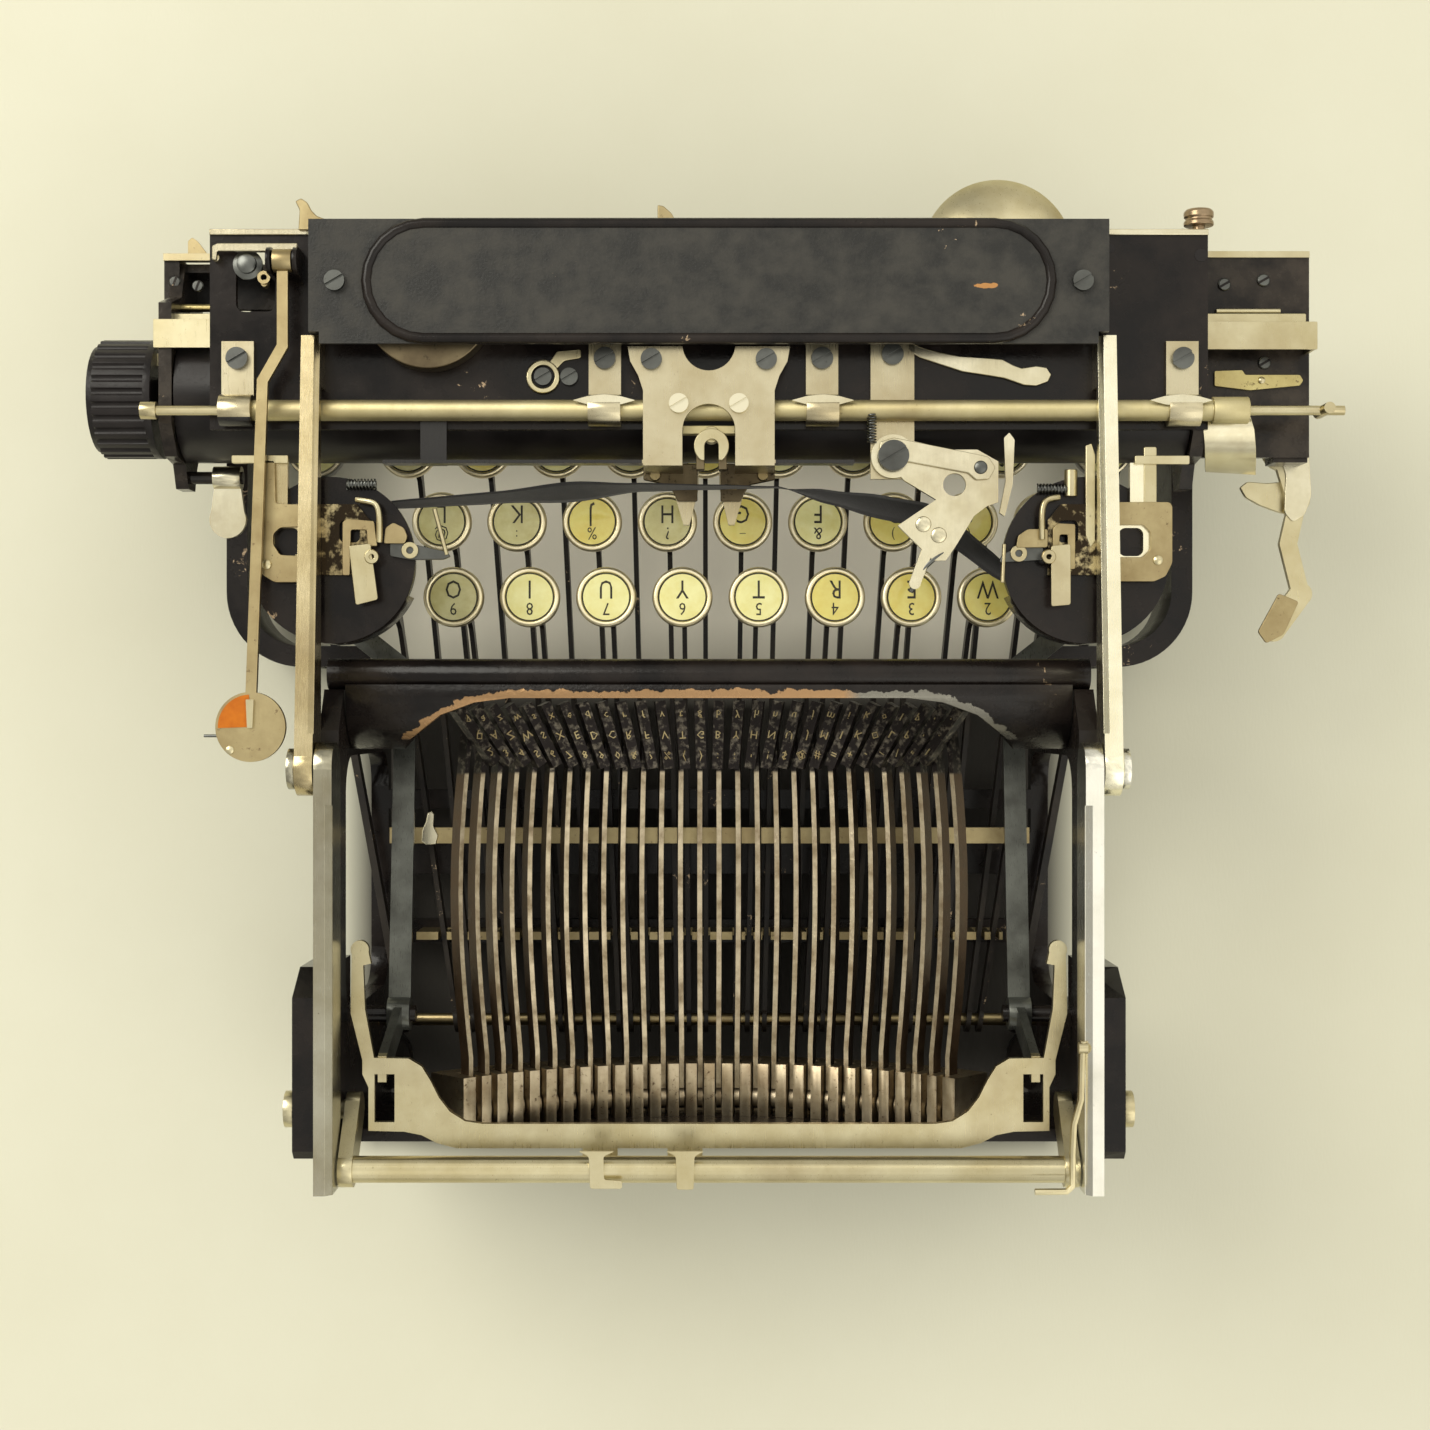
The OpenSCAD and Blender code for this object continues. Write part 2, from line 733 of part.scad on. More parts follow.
module spool(x) {
    z1 = cup_z1 - 2.3;
    difference() {
        union() {
            rod_z(x, cup_y, z1 - 1, z1, spool_r);
            rod_z(x, cup_y, z1 - 15, z1 - 14, spool_r);
            rod_z(x, cup_y, z1 - 14.5, z1 - 0.5, 12);
        }
        rod_z(x, cup_y, z1 - 20, z1 + 5, 2.5 + fit);
    }
}

module ribbon() {
    z1 = cup_z1 - 3.8;
    y1 = cup_y - 12.9;
    color("#171514") along_z(z1 - 11.5, z1) {
        strip([cup_x - 4, y1], [16, -45.4], 0.5);
        strip([16, -45.4], [-16, -45.4], 0.5);
        strip([-16, -45.4], [-52, -38.5], 0.5);
        strip([-52, -38.5], [-cup_x + 8.1, cup_y + 10.1], 0.5);
    }
}

module vibrator_lever() {
    z0 = plate_z1 + 1.7;
    color("#c4baa2") difference() {
        union() {
            rod_z(-42, -51.5, z0, z0 + 1.6, 5);
            along_z(z0, z0 + 1.6)
                polygon([
                    [-38, -54], [-44, -55.5], [-55.4, -53], [-61.2, -53], [-66, -50.3], [-66, -41],
                    [-63.4, -40.1], [-60.5, -37.9], [-56.1, -30.7], [-54, -27.7], [-51.2, -27.7],
                    [-43.1, -35.7], [-51.8, -41.6], [-44.5, -46]
                ]);
            along_z(z0, z0 + 1.6) strip([-52, -36], [-47, -22.5], 2.6);
        }
        rod_z(-56, -45, z0 - 1, z0 + 4, 2.6);
        rod_z(-42, -51.5, z0 - 1, z0 + 4, 1.8 + fit);
    }
}

module reverse_rod() {
    color("#c9bfa6") {
        rod_x(-145, 129.6, tube_y, tube_z, rod_r);
        translate([-140.4, tube_y, tube_z - 5]) cylinder(r = 1.3, h = 10);
        rod_x(126, 129.6, tube_y, tube_z, 2);
    }
}

module spring_drum() {
    z0 = plate_z1 + 0.4;
    color("#9c9384") difference() {
        union() {
            rod_z(drum_c[0], drum_c[1], z0, z0 + 6.8, drum_d / 2);
            rod_z(drum_c[0], drum_c[1], z0, z0 + 8, 6);
        }
        rod_z(drum_c[0], drum_c[1], z0 - 1, z0 + 10, 2.5 + fit);
    }
}

module color_lever() {
    z0 = plate_z1 + 7.7;
    color("#c9bfa6") difference() {
        union() {
            along_z(z0, z0 + 1.6) {
                strip([96.1, -95], [96.1, -75.7], 2.5);
                strip([96.1, -75.7], [100.6, -67.8], 2.5);
                strip([100.6, -67.8], [103.3, 6], 2.5);
                translate([103.3, 10.2]) circle(7.9);
            }
            rod_x(94, 98.2, -95, z0 + 0.8, 2.6);
        }
        rod_x(80, 120, -95, z0 + 0.8, 1.2 + fit);
    }
}

module end_outline() {
    polygon([
        [-100, 50], [-92, 48], [-60, 48], [-52, 54], [-46.5, 56], [-46.5, 63], [-52, 66],
        [-53, 74], [-60, 80], [-88, 80], [-91, 70], [-100, 66]
    ]);
}

module carriage_truck() {
    xl = [truck_x0 - end_t, truck_x0];
    xr = [truck_x1, truck_x1 + end_t];
    color("#1d1b1a") difference() {
        union() {
            along_x(xl[0], xl[1]) end_outline();
            along_x(xr[0], xr[1]) end_outline();
            // channel between the ends
            block(xl[0], xr[1], -100, -91, 52, 54);
            block(xl[0], xr[1], -100, -98, 52, 64);
            // left end housing over the line space lever
            block(-141, xl[0] + 1, -100, -53, 70, 72);
            block(-141, xl[0] + 1, -100, -98, 56, 72);
            block(-141, -133, -62, -52, 62.4, 70.5);
            rod_z(swing_x, swing_y, 58, 63, 2);
            // right end shelf
            block(xr[0] + 1, truck_x1 + 4.6, -100, -84, 66, 68);
            // stud of the release lever
            rod_x(hang_x - 3.7, xr[0] + 1, hang_y, hang_z, 1.5);
        }
        for (x = [xl[0] - 1, xr[0] - 1]) rod_x(x, x + end_t + 2, platen_y, platen_z, 3 + fit);
        // seats of the carriage rail
        block(xl[0] - 1, xr[1] + 1, slide_y0, slide_y1, slide_z0, slide_z1);
    }
}

module carriage_rail() {
    color("#c9bfa6") block(-139, truck_x1 + 3.6, slide_y0, slide_y1, slide_z0, slide_z1);
}

module platen() {
    x1 = truck_x1 - 0.4;
    x0 = truck_x0 + 0.4;
    color("#242220") {
        rod_x(x0, x1, platen_y, platen_z, platen_r);
        rod_x(x0 - end_t - 6, x1 + 6, platen_y, platen_z, 3);
        // ratchet wheel of the line spacing
        rod_x(x0 - end_t - 5, x0 - end_t - 1.2, platen_y, platen_z, 4.5);
        // fluted knob
        difference() {
            union() {
                rod_x(knob_x, knob_x + 13.7, platen_y, platen_z, knob_d / 2);
                rod_x(knob_x + 13.7, knob_x + 15.2, platen_y, platen_z, knob_d / 2 - 1.5);
            }
            for (i = [1:knob_flutes]) translate([0, platen_y, platen_z])
                rotate([i * 360 / knob_flutes, 0, 0])
                    rod_x(knob_x + 1.7, knob_x + 17, 0, knob_d / 2 + 0.3, 0.95);
        }
        rod_x(x1 + end_t + 0.8, knob_x + 0.2, platen_y, platen_z, 5);
    }
}

module line_space_lever() {
    color("#c9bfa6") difference() {
        along_z(60, 62) {
            translate([swing_x, swing_y]) circle(5);
            strip([swing_x, swing_y], [swing_x - 3.6, -44], 5.6);
            strip([swing_x - 3.6, -44], [swing_x - 1.2, -33.5], 4.2);
            strip([swing_x - 1.2, -33.5], [swing_x - 4.2, -21.5], 4.2);
            strip([swing_x - 4.2, -21.5], [swing_x + 2.2, -12.8], 5.4);
        }
        rod_z(swing_x, swing_y, 50, 70, 2 + fit);
    }
}

module release_lever() {
    color("#c9bfa6") difference() {
        union() {
            rod_x(hang_x - 3.3, hang_x + 3.3, hang_y, hang_z, 2.8);
            along_z(hang_z - 0.8, hang_z + 0.8) {
                polygon([
                    [hang_x - 2.9, hang_y], [hang_x + 2.9, hang_y], [hang_x + 4.3, -39], [hang_x - 4.3, -39]
                ]);
                translate([hang_x, -39.4]) circle(4.4);
            }
        }
        rod_x(hang_x - 10, hang_x + 10, hang_y, hang_z, 1.5 + fit);
    }
}

module paper_table() {
    x0 = truck_x0;
    x1 = truck_x1;
    color("#2a2827") {
        along_x(x0, x1) {
            translate([platen_y, platen_z]) intersection() {
                difference() {
                    circle(platen_r + 3.2, $fn = 96);
                    circle(platen_r + 2, $fn = 96);
                }
                polygon([[0, 0], [-22, -20], [-20, -30], [0, -30]]);
            }
            translate([platen_y, platen_z]) rotate(221.5) translate([platen_r + 2, -1]) square([6, 1.2]);
        }
        // feed roll between the platen and the table
        rod_x(x0, x1, platen_y - 17.9, platen_z - 7, 1.8);
        rod_x(x0 + 12, x1 - 12, platen_y - 17.9, platen_z - 7, 3.8);
    }
}

module key(b, i) {
    kx = key_x(b, i);
    ky = key_y(b);
    x1 = kx * squeeze;
    cap = key_z(b) - key_h;
    reach = norm([kx - x1, shaft_y - ky]);
    rise = cap - shaft_z - seat;
    color("#2f2c2a") difference() {
        translate([x1, shaft_y, shaft_z]) rotate([0, 0, atan2(kx - x1, shaft_y - ky)])
            along_x(-lever_t / 2, lever_t / 2) {
                polygon([
                    [0, -lever_h / 2], [0, lever_h / 2], [-reach + 7, lever_h / 2],
                    [-reach + 2, 9], [-reach + 2, rise], [-reach - 2, rise],
                    [-reach - 2, 5], [-reach + 3, -lever_h / 2]
                ]);
                circle(3.4);
            }
        rod_x(-120, 120, shaft_y, shaft_z, shaft_r + fit);
    }
    color("#cfc4a8") difference() {
        rod_z(kx, ky, cap, cap + key_h, key_d / 2);
        rod_z(kx, ky, cap + key_h - 1, cap + key_h + 1, key_d / 2 - 1.2);
    }
    color("#e6d9ad") rod_z(kx, ky, cap + key_h - 1 + seat, cap + key_h - 0.4, key_d / 2 - 1.25);
}

base_casting();
type_rest();
type_segment();
typebars();
strike_typebar();
lever_comb();
side_rails();
rubber_feet();
shift_frame();
space_bar();
latch_bail();
carriage_arms();
frame_plate();
back_cover();
rail_tube();
rail_brackets();
frame_screws();
bell();
spool_cups();
ribbon();
vibrator_lever();
reverse_rod();
spring_drum();
spool(-cup_x);  // left_spool
spool(cup_x);  // right_spool
color_lever();
carriage_truck();
carriage_rail();
platen();
line_space_lever();
release_lever();
paper_table();
for (b = [0:2], i = [0:len(banks[b]) - 1])
    key(b, i);
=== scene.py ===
import math

import bmesh
import bpy
from mathutils import Matrix, Vector


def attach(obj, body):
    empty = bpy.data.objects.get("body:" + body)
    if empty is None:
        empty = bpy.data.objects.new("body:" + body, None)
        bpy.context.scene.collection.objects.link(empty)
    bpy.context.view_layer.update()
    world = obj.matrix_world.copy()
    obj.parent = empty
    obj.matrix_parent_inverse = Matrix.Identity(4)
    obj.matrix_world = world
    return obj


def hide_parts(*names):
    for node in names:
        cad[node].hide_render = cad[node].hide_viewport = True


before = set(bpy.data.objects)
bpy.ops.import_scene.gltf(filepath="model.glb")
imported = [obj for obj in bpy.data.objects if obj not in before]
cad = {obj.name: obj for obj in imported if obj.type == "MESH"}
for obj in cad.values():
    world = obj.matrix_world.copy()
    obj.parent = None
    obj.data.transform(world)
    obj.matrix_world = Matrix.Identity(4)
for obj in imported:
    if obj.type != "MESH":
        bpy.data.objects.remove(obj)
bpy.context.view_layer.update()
mm = 0.001
print("frame loaded,", len(cad), "nodes")


# shader helpers

def addNode(tree, kind, sockets=None, **settings):
    node = tree.nodes.new(kind)
    for key, value in settings.items():
        setattr(node, key, value)
    for key, value in (sockets or {}).items():
        sock = node.inputs[key]
        if isinstance(value, bpy.types.NodeSocket):
            tree.links.new(value, sock)
        elif sock.type == "RGBA":
            sock.default_value = (*value[:3], 1.0)
        else:
            sock.default_value = value
    return node


def sums(tree, operation, a, b=0.0, clamp=False):
    return addNode(tree, "ShaderNodeMath", {0: a, 1: b}, operation=operation, use_clamp=clamp).outputs[0]


def mixed(tree, factor, a, b):
    return addNode(tree, "ShaderNodeMix", {0: factor, 6: a, 7: b}, data_type="RGBA").outputs[2]


def remap(tree, value, low, high, toLow=0.0, toHigh=1.0):
    return addNode(tree, "ShaderNodeMapRange", {0: value, 1: low, 2: high, 3: toLow, 4: toHigh}).outputs[0]


def objectSpot(tree):
    return addNode(tree, "ShaderNodeTexCoord").outputs["Object"]


def axes(tree, vector):
    return addNode(tree, "ShaderNodeSeparateXYZ", {0: vector}).outputs


def startGroup(name, inputs):
    group = bpy.data.node_groups.new(name, "ShaderNodeTree")
    for label, value in inputs.items():
        sock = group.interface.new_socket(label, in_out="INPUT", socket_type="NodeSocketFloat")
        sock.default_value = value
    group.interface.new_socket("Mask", in_out="OUTPUT", socket_type="NodeSocketFloat")
    return group, group.nodes.new("NodeGroupInput").outputs, group.nodes.new("NodeGroupOutput").inputs


def patinaGroup():
    group, given, out = startGroup("soft patina", {"Scale": 60.0, "Low": 0.38, "High": 0.66})
    noise = addNode(group, "ShaderNodeTexNoise", {"Vector": objectSpot(group), "Scale": given["Scale"],
                                                  "Detail": 5.0, "Roughness": 0.62})
    spread = addNode(group, "ShaderNodeMapRange", {0: noise.outputs["Fac"], 1: given["Low"], 2: given["High"]})
    group.links.new(spread.outputs[0], out["Mask"])
    return group


def chipsGroup():
    # sharp flakes that gather in a few places
    group, given, out = startGroup("enamel chips", {"Scale": 400.0, "Amount": 0.3})
    spot = objectSpot(group)
    flakes = addNode(group, "ShaderNodeTexNoise", {"Vector": spot, "Scale": given["Scale"], "Detail": 7.0,
                                                   "Roughness": 0.7, "Distortion": 0.6})
    places = addNode(group, "ShaderNodeTexNoise", {"Vector": spot, "Scale": sums(group, "MULTIPLY", given["Scale"], 0.13),
                                                   "Detail": 2.0})
    gathered = sums(group, "MULTIPLY", flakes.outputs["Fac"], places.outputs["Fac"])
    edge = sums(group, "SUBTRACT", 0.52, sums(group, "MULTIPLY", given["Amount"], 0.3))
    sharp = addNode(group, "ShaderNodeMapRange", {0: gathered, 1: edge, 2: sums(group, "ADD", edge, 0.012)})
    group.links.new(sharp.outputs[0], out["Mask"])
    return group


def scratchGroup():
    group, given, out = startGroup("fine scratches", {"Scale": 900.0, "Stretch": 0.05})
    stretched = addNode(group, "ShaderNodeVectorMath", {0: objectSpot(group)}, operation="MULTIPLY")
    lean = addNode(group, "ShaderNodeCombineXYZ", {"X": 1.0, "Y": given["Stretch"], "Z": 1.0})
    group.links.new(lean.outputs[0], stretched.inputs[1])
    noise = addNode(group, "ShaderNodeTexNoise", {"Vector": stretched.outputs[0], "Scale": given["Scale"], "Detail": 3.0})
    spread = addNode(group, "ShaderNodeMapRange", {0: noise.outputs["Fac"], 1: 0.3, 2: 0.72})
    group.links.new(spread.outputs[0], out["Mask"])
    return group


def speckGroup():
    # small dark pits and grime spots
    group, given, out = startGroup("grime specks", {"Scale": 700.0, "Amount": 0.4})
    noise = addNode(group, "ShaderNodeTexNoise", {"Vector": objectSpot(group), "Scale": given["Scale"], "Detail": 6.0,
                                                  "Roughness": 0.75})
    edge = sums(group, "SUBTRACT", 0.76, sums(group, "MULTIPLY", given["Amount"], 0.25))
    sharp = addNode(group, "ShaderNodeMapRange", {0: noise.outputs["Fac"], 1: edge, 2: sums(group, "ADD", edge, 0.09)})
    group.links.new(sharp.outputs[0], out["Mask"])
    return group


effects = {"patina": patinaGroup(), "chips": chipsGroup(), "scratch": scratchGroup(), "specks": speckGroup()}


def effect(tree, name, **values):
    node = tree.nodes.new("ShaderNodeGroup")
    node.node_tree = effects[name]
    for label, value in values.items():
        node.inputs[label].default_value = value
    return node.outputs["Mask"]


def newFinish(name):
    finish = bpy.data.materials.new(name)
    finish.use_nodes = True
    tree = finish.node_tree
    return finish, tree, tree.nodes["Principled BSDF"]


def addBump(tree, bsdf, height, strength, distance=0.0002):
    bump = addNode(tree, "ShaderNodeBump", {"Height": height, "Strength": strength, "Distance": distance})
    tree.links.new(bump.outputs["Normal"], bsdf.inputs["Normal"])


def insideBox(tree, x, y, box, soft):
    # 1 inside the box, falling to 0 over the soft rim
    lowX, highX, lowY, highY = (v * mm for v in box)
    across = sums(tree, "MULTIPLY", remap(tree, x, lowX, lowX + soft), remap(tree, x, highX - soft, highX, 1.0, 0.0))
    along = sums(tree, "MULTIPLY", remap(tree, y, lowY, lowY + soft), remap(tree, y, highY - soft, highY, 1.0, 0.0))
    return sums(tree, "MULTIPLY", across, along)


def enamelColor(tree, s):
    cloud = effect(tree, "patina", Scale=s["cloud"])
    chip = effect(tree, "chips", Scale=s["chipScale"], Amount=s["chipAmount"])
    paint = mixed(tree, cloud, s["deep"], s["dusty"])
    return mixed(tree, chip, paint, s["bare"]), cloud, chip


def enamelFinish(s):
    finish, tree, bsdf = newFinish(s["name"])
    color, cloud, chip = enamelColor(tree, s)
    tree.links.new(color, bsdf.inputs["Base Color"])
    tree.links.new(remap(tree, cloud, 0.0, 1.0, *s["gloss"]), bsdf.inputs["Roughness"])
    tree.links.new(sums(tree, "MULTIPLY", chip, 0.7), bsdf.inputs["Metallic"])
    bsdf.inputs["Specular IOR Level"].default_value = s["shine"]
    bsdf.inputs["Coat Weight"].default_value = s["coat"]
    bsdf.inputs["Coat Roughness"].default_value = 0.14
    addBump(tree, bsdf, effect(tree, "patina", Scale=s["grain"], Low=0.2, High=0.8), s["bump"])
    return finish


def platedColor(tree, s):
    cloud = effect(tree, "patina", Scale=s["cloud"])
    speck = effect(tree, "specks", Scale=s["speckScale"], Amount=s["speckAmount"])
    plate = mixed(tree, cloud, s["bright"], s["warm"])
    worn = effect(tree, "patina", Scale=s["cloud"] * 0.45, Low=0.5, High=0.74)
    plate = mixed(tree, sums(tree, "MULTIPLY", worn, s["tarnishAmount"]), plate, s["tarnish"])
    return mixed(tree, speck, plate, s["stain"]), cloud, speck


def platedFinish(s):
    finish, tree, bsdf = newFinish(s["name"])
    color, cloud, speck = platedColor(tree, s)
    tree.links.new(color, bsdf.inputs["Base Color"])
    bsdf.inputs["Metallic"].default_value = 1.0
    scratch = effect(tree, "scratch", Scale=s["scratchScale"])
    rough = sums(tree, "ADD", remap(tree, scratch, 0.0, 1.0, *s["gloss"]), sums(tree, "MULTIPLY", speck, 0.25))
    tree.links.new(rough, bsdf.inputs["Roughness"])
    addBump(tree, bsdf, sums(tree, "SUBTRACT", remap(tree, scratch, 0.0, 1.0, 0.0, 0.25), speck), s["bump"], 0.00004)
    return finish


enamel = {"name": "blackEnamel", "deep": (0.0055, 0.0042, 0.004), "dusty": (0.018, 0.013, 0.0105),
          "bare": (0.42, 0.31, 0.2), "cloud": 55.0, "chipScale": 420.0, "chipAmount": 0.34,
          "gloss": (0.16, 0.34), "coat": 0.08, "shine": 0.2, "grain": 900.0, "bump": 0.12}
coverEnamel = dict(enamel, name="coverEnamel", deep=(0.015, 0.0145, 0.013), dusty=(0.042, 0.039, 0.033), cloud=160.0,
                   gloss=(0.4, 0.62), coat=0.05, shine=0.3, chipAmount=0.22, grain=1500.0, bump=0.55)
leverEnamel = dict(enamel, name="leverEnamel", deep=(0.01, 0.008, 0.007), dusty=(0.03, 0.024, 0.018),
                   chipAmount=0.42, chipScale=700.0, coat=0.1, gloss=(0.35, 0.55))
nickel = {"name": "agedNickel", "bright": (0.62, 0.56, 0.37), "warm": (0.5, 0.43, 0.25), "stain": (0.11, 0.07, 0.04),
          "tarnish": (0.3, 0.225, 0.12), "tarnishAmount": 0.6,
          "cloud": 60.0, "speckScale": 620.0, "speckAmount": 0.38, "scratchScale": 4200.0, "gloss": (0.27, 0.34),
          "bump": 0.12}
brightNickel = dict(nickel, name="brightNickel", bright=(0.74, 0.69, 0.52), warm=(0.6, 0.54, 0.37), speckAmount=0.24,
                    gloss=(0.2, 0.27))
keyNickel = dict(nickel, name="keyNickel", bright=(0.95, 0.86, 0.62), warm=(0.84, 0.74, 0.48), speckAmount=0.05,
                 tarnishAmount=0.1, gloss=(0.38, 0.44), bump=0.02)
armNickel = dict(nickel, name="armNickel", bright=(0.57, 0.48, 0.29), warm=(0.44, 0.355, 0.19), speckAmount=0.34,
                 gloss=(0.22, 0.3))
truckEnamel = dict(enamel, name="truckEnamel", deep=(0.012, 0.0095, 0.008), dusty=(0.042, 0.033, 0.025), cloud=120.0)
dullNickel = dict(nickel, name="dullNickel", bright=(0.43, 0.35, 0.19), warm=(0.3, 0.23, 0.115), speckAmount=0.6,
                  gloss=(0.32, 0.42), cloud=90.0)
tubeNickel = dict(nickel, name="tubeNickel", bright=(0.62, 0.55, 0.33), warm=(0.5, 0.43, 0.23), speckAmount=0.45,
                  gloss=(0.5, 0.6))
screwSteel = dict(nickel, name="screwSteel", bright=(0.15, 0.155, 0.145), warm=(0.075, 0.075, 0.07), stain=(0.04, 0.035, 0.03),
                  tarnishAmount=0.0, speckAmount=0.5, gloss=(0.28, 0.36))
bronze = dict(nickel, name="dirtyBronze", bright=(0.17, 0.135, 0.08), warm=(0.09, 0.068, 0.042), stain=(0.03, 0.024, 0.018),
              tarnishAmount=0.0, speckAmount=0.7, gloss=(0.34, 0.46))
segmentSteel = dict(nickel, name="segmentSteel", bright=(0.5, 0.42, 0.29), warm=(0.33, 0.255, 0.165), tarnishAmount=0.4, speckAmount=0.7,
                    gloss=(0.3, 0.42), cloud=150.0)
brass = dict(nickel, name="wornBrass", bright=(0.6, 0.52, 0.24), warm=(0.4, 0.32, 0.13), speckAmount=0.7)
railNickel = dict(nickel, name="railNickel", bright=(0.45, 0.43, 0.34), warm=(0.33, 0.3, 0.21), tarnish=(0.18, 0.145, 0.09),
                  speckAmount=0.45, gloss=(0.2, 0.28), cloud=45.0)
# brighter copies of the rail and arm plating, used on the -X side of the machine as a painted reflection
railLitSide = dict(railNickel, bright=(0.86, 0.84, 0.76), warm=(0.74, 0.72, 0.62), tarnishAmount=0.25)
armLitSide = dict(nickel, bright=(0.95, 0.9, 0.7), warm=(0.82, 0.76, 0.55), speckAmount=0.3, tarnishAmount=0.3)
spoolBrass = dict(nickel, bright=(0.46, 0.38, 0.21), warm=(0.3, 0.225, 0.11), speckAmount=0.6)
spoolGrime = (0.03, 0.022, 0.014)
spoolPlates = {"box": (68.0, 93.0, -48.0, -14.0), "top": 0.0899}
copper = dict(nickel, name="copperRing", bright=(0.36, 0.27, 0.17), warm=(0.26, 0.18, 0.11), speckAmount=0.5)

finishes = {s["name"]: enamelFinish(s) for s in (enamel, leverEnamel, truckEnamel)}
finishes.update({s["name"]: platedFinish(s)
                 for s in (nickel, brightNickel, keyNickel, dullNickel, tubeNickel, screwSteel, bronze,
                           segmentSteel, brass, copper)})


# finishes with their own layout on the piece

typeRest = {"edgeStart": 0.0036, "flare": 17.2, "straight": 0.046, "band": 0.0024, "copperTo": -0.031,
            "copper": (0.36, 0.215, 0.105), "grey": (0.2, 0.19, 0.16)}


def typeRestFinish():
    finish, tree, bsdf = newFinish("typeRestEnamel")
    color, cloud, chip = enamelColor(tree, enamel)
    x, y, z = axes(tree, objectSpot(tree))
    # distance behind the scalloped edge
    side = sums(tree, "MAXIMUM", sums(tree, "SUBTRACT", sums(tree, "ABSOLUTE", x), typeRest["straight"]), 0.0)
    edge = sums(tree, "ADD", sums(tree, "MULTIPLY", sums(tree, "MULTIPLY", side, side), typeRest["flare"]),
                typeRest["edgeStart"])
    ragged = effect(tree, "patina", Scale=260.0, Low=0.3, High=0.7)
    width = remap(tree, ragged, 0.0, 1.0, 0.0007, 0.0026)
    inward = sums(tree, "SUBTRACT", edge, y)
    rubbed = remap(tree, sums(tree, "SUBTRACT", inward, width), 0.0, 0.00015, 1.0, 0.0)
    rubbed = sums(tree, "MULTIPLY", rubbed, remap(tree, z, 0.0765, 0.0775))
    warmSide = remap(tree, x, typeRest["copperTo"] - 0.004, typeRest["copperTo"])
    metal = mixed(tree, warmSide, typeRest["grey"], typeRest["copper"])
    tree.links.new(mixed(tree, rubbed, color, metal), bsdf.inputs["Base Color"])
    tree.links.new(remap(tree, cloud, 0.0, 1.0, 0.2, 0.4), bsdf.inputs["Roughness"])
    tree.links.new(sums(tree, "MULTIPLY", sums(tree, "MAXIMUM", rubbed, chip), 0.7), bsdf.inputs["Metallic"])
    bsdf.inputs["Specular IOR Level"].default_value = enamel["shine"]
    bsdf.inputs["Coat Weight"].default_value = enamel["coat"]
    bsdf.inputs["Coat Roughness"].default_value = 0.14
    addBump(tree, bsdf, sums(tree, "SUBTRACT", effect(tree, "patina", Scale=800.0), rubbed), 0.2)
    return finish


# edge and edgeDull colour the top edges (worn, and partly a painted highlight); side is painted shade on the flat sides
# between the bars, sideTan their colour on the outer bars
typeBasket = {"axisZ": 0.127, "slugFrom": 0.0213, "edge": (0.52, 0.44, 0.31), "edgeDull": (0.24, 0.185, 0.115),
              "side": (0.016, 0.0105, 0.007), "sideTan": (0.1, 0.062, 0.034), "slug": (0.018, 0.0145, 0.0135),
              "slugPale": (0.2, 0.175, 0.135)}


def typebarFinish():
    # bright top edges facing the fan axis, partly rubbed wear and partly a painted highlight; flat sides painted dark
    # as shade between the bars, brown on the outer bars; inked type at the front
    t = typeBasket
    finish, tree, bsdf = newFinish("typebarSteel")
    coord = addNode(tree, "ShaderNodeTexCoord").outputs
    spot, normal = coord["Object"], coord["Normal"]
    x, y, z = axes(tree, spot)
    toAxis = addNode(tree, "ShaderNodeCombineXYZ", {"X": sums(tree, "MULTIPLY", x, -1.0),
                                                    "Z": sums(tree, "SUBTRACT", t["axisZ"], z)}).outputs[0]
    inward = addNode(tree, "ShaderNodeVectorMath", {0: toAxis}, operation="NORMALIZE").outputs[0]
    facing = addNode(tree, "ShaderNodeVectorMath", {0: inward, 1: normal}, operation="DOT_PRODUCT").outputs["Value"]
    # faces turned towards the fan axis get the bright edge colour, partly a painted highlight
    top = remap(tree, facing, 0.6, 0.9)
    wear = effect(tree, "patina", Scale=180.0)
    # the sides are painted near black as shade in the middle of the fan, turning tan towards the outer bars
    tan = remap(tree, sums(tree, "ABSOLUTE", x), 0.03, 0.056)
    side = mixed(tree, sums(tree, "MULTIPLY", tan, remap(tree, wear, 0.0, 1.0, 0.55, 1.0)), t["side"], t["sideTan"])
    bar = mixed(tree, top, side, mixed(tree, wear, t["edge"], t["edgeDull"]))
    ink = effect(tree, "patina", Scale=620.0, Low=0.5, High=0.74)
    slug = mixed(tree, ink, t["slug"], t["slugPale"])
    color = mixed(tree, remap(tree, y, t["slugFrom"], t["slugFrom"] + 0.0006), slug, bar)
    tree.links.new(color, bsdf.inputs["Base Color"])
    tree.links.new(remap(tree, top, 0.0, 1.0, 0.55, 0.85), bsdf.inputs["Metallic"])
    tree.links.new(remap(tree, wear, 0.0, 1.0, 0.28, 0.5), bsdf.inputs["Roughness"])
    addBump(tree, bsdf, ink, 0.25)
    return finish


coverMarks = {"spots": [(-62.4, -88.8, 3.1, 0.7), (-52.0, -103.8, 2.2, 0.8), (-58.4, -103.9, 1.5, 0.7)],
              "tan": (0.42, 0.2, 0.06)}


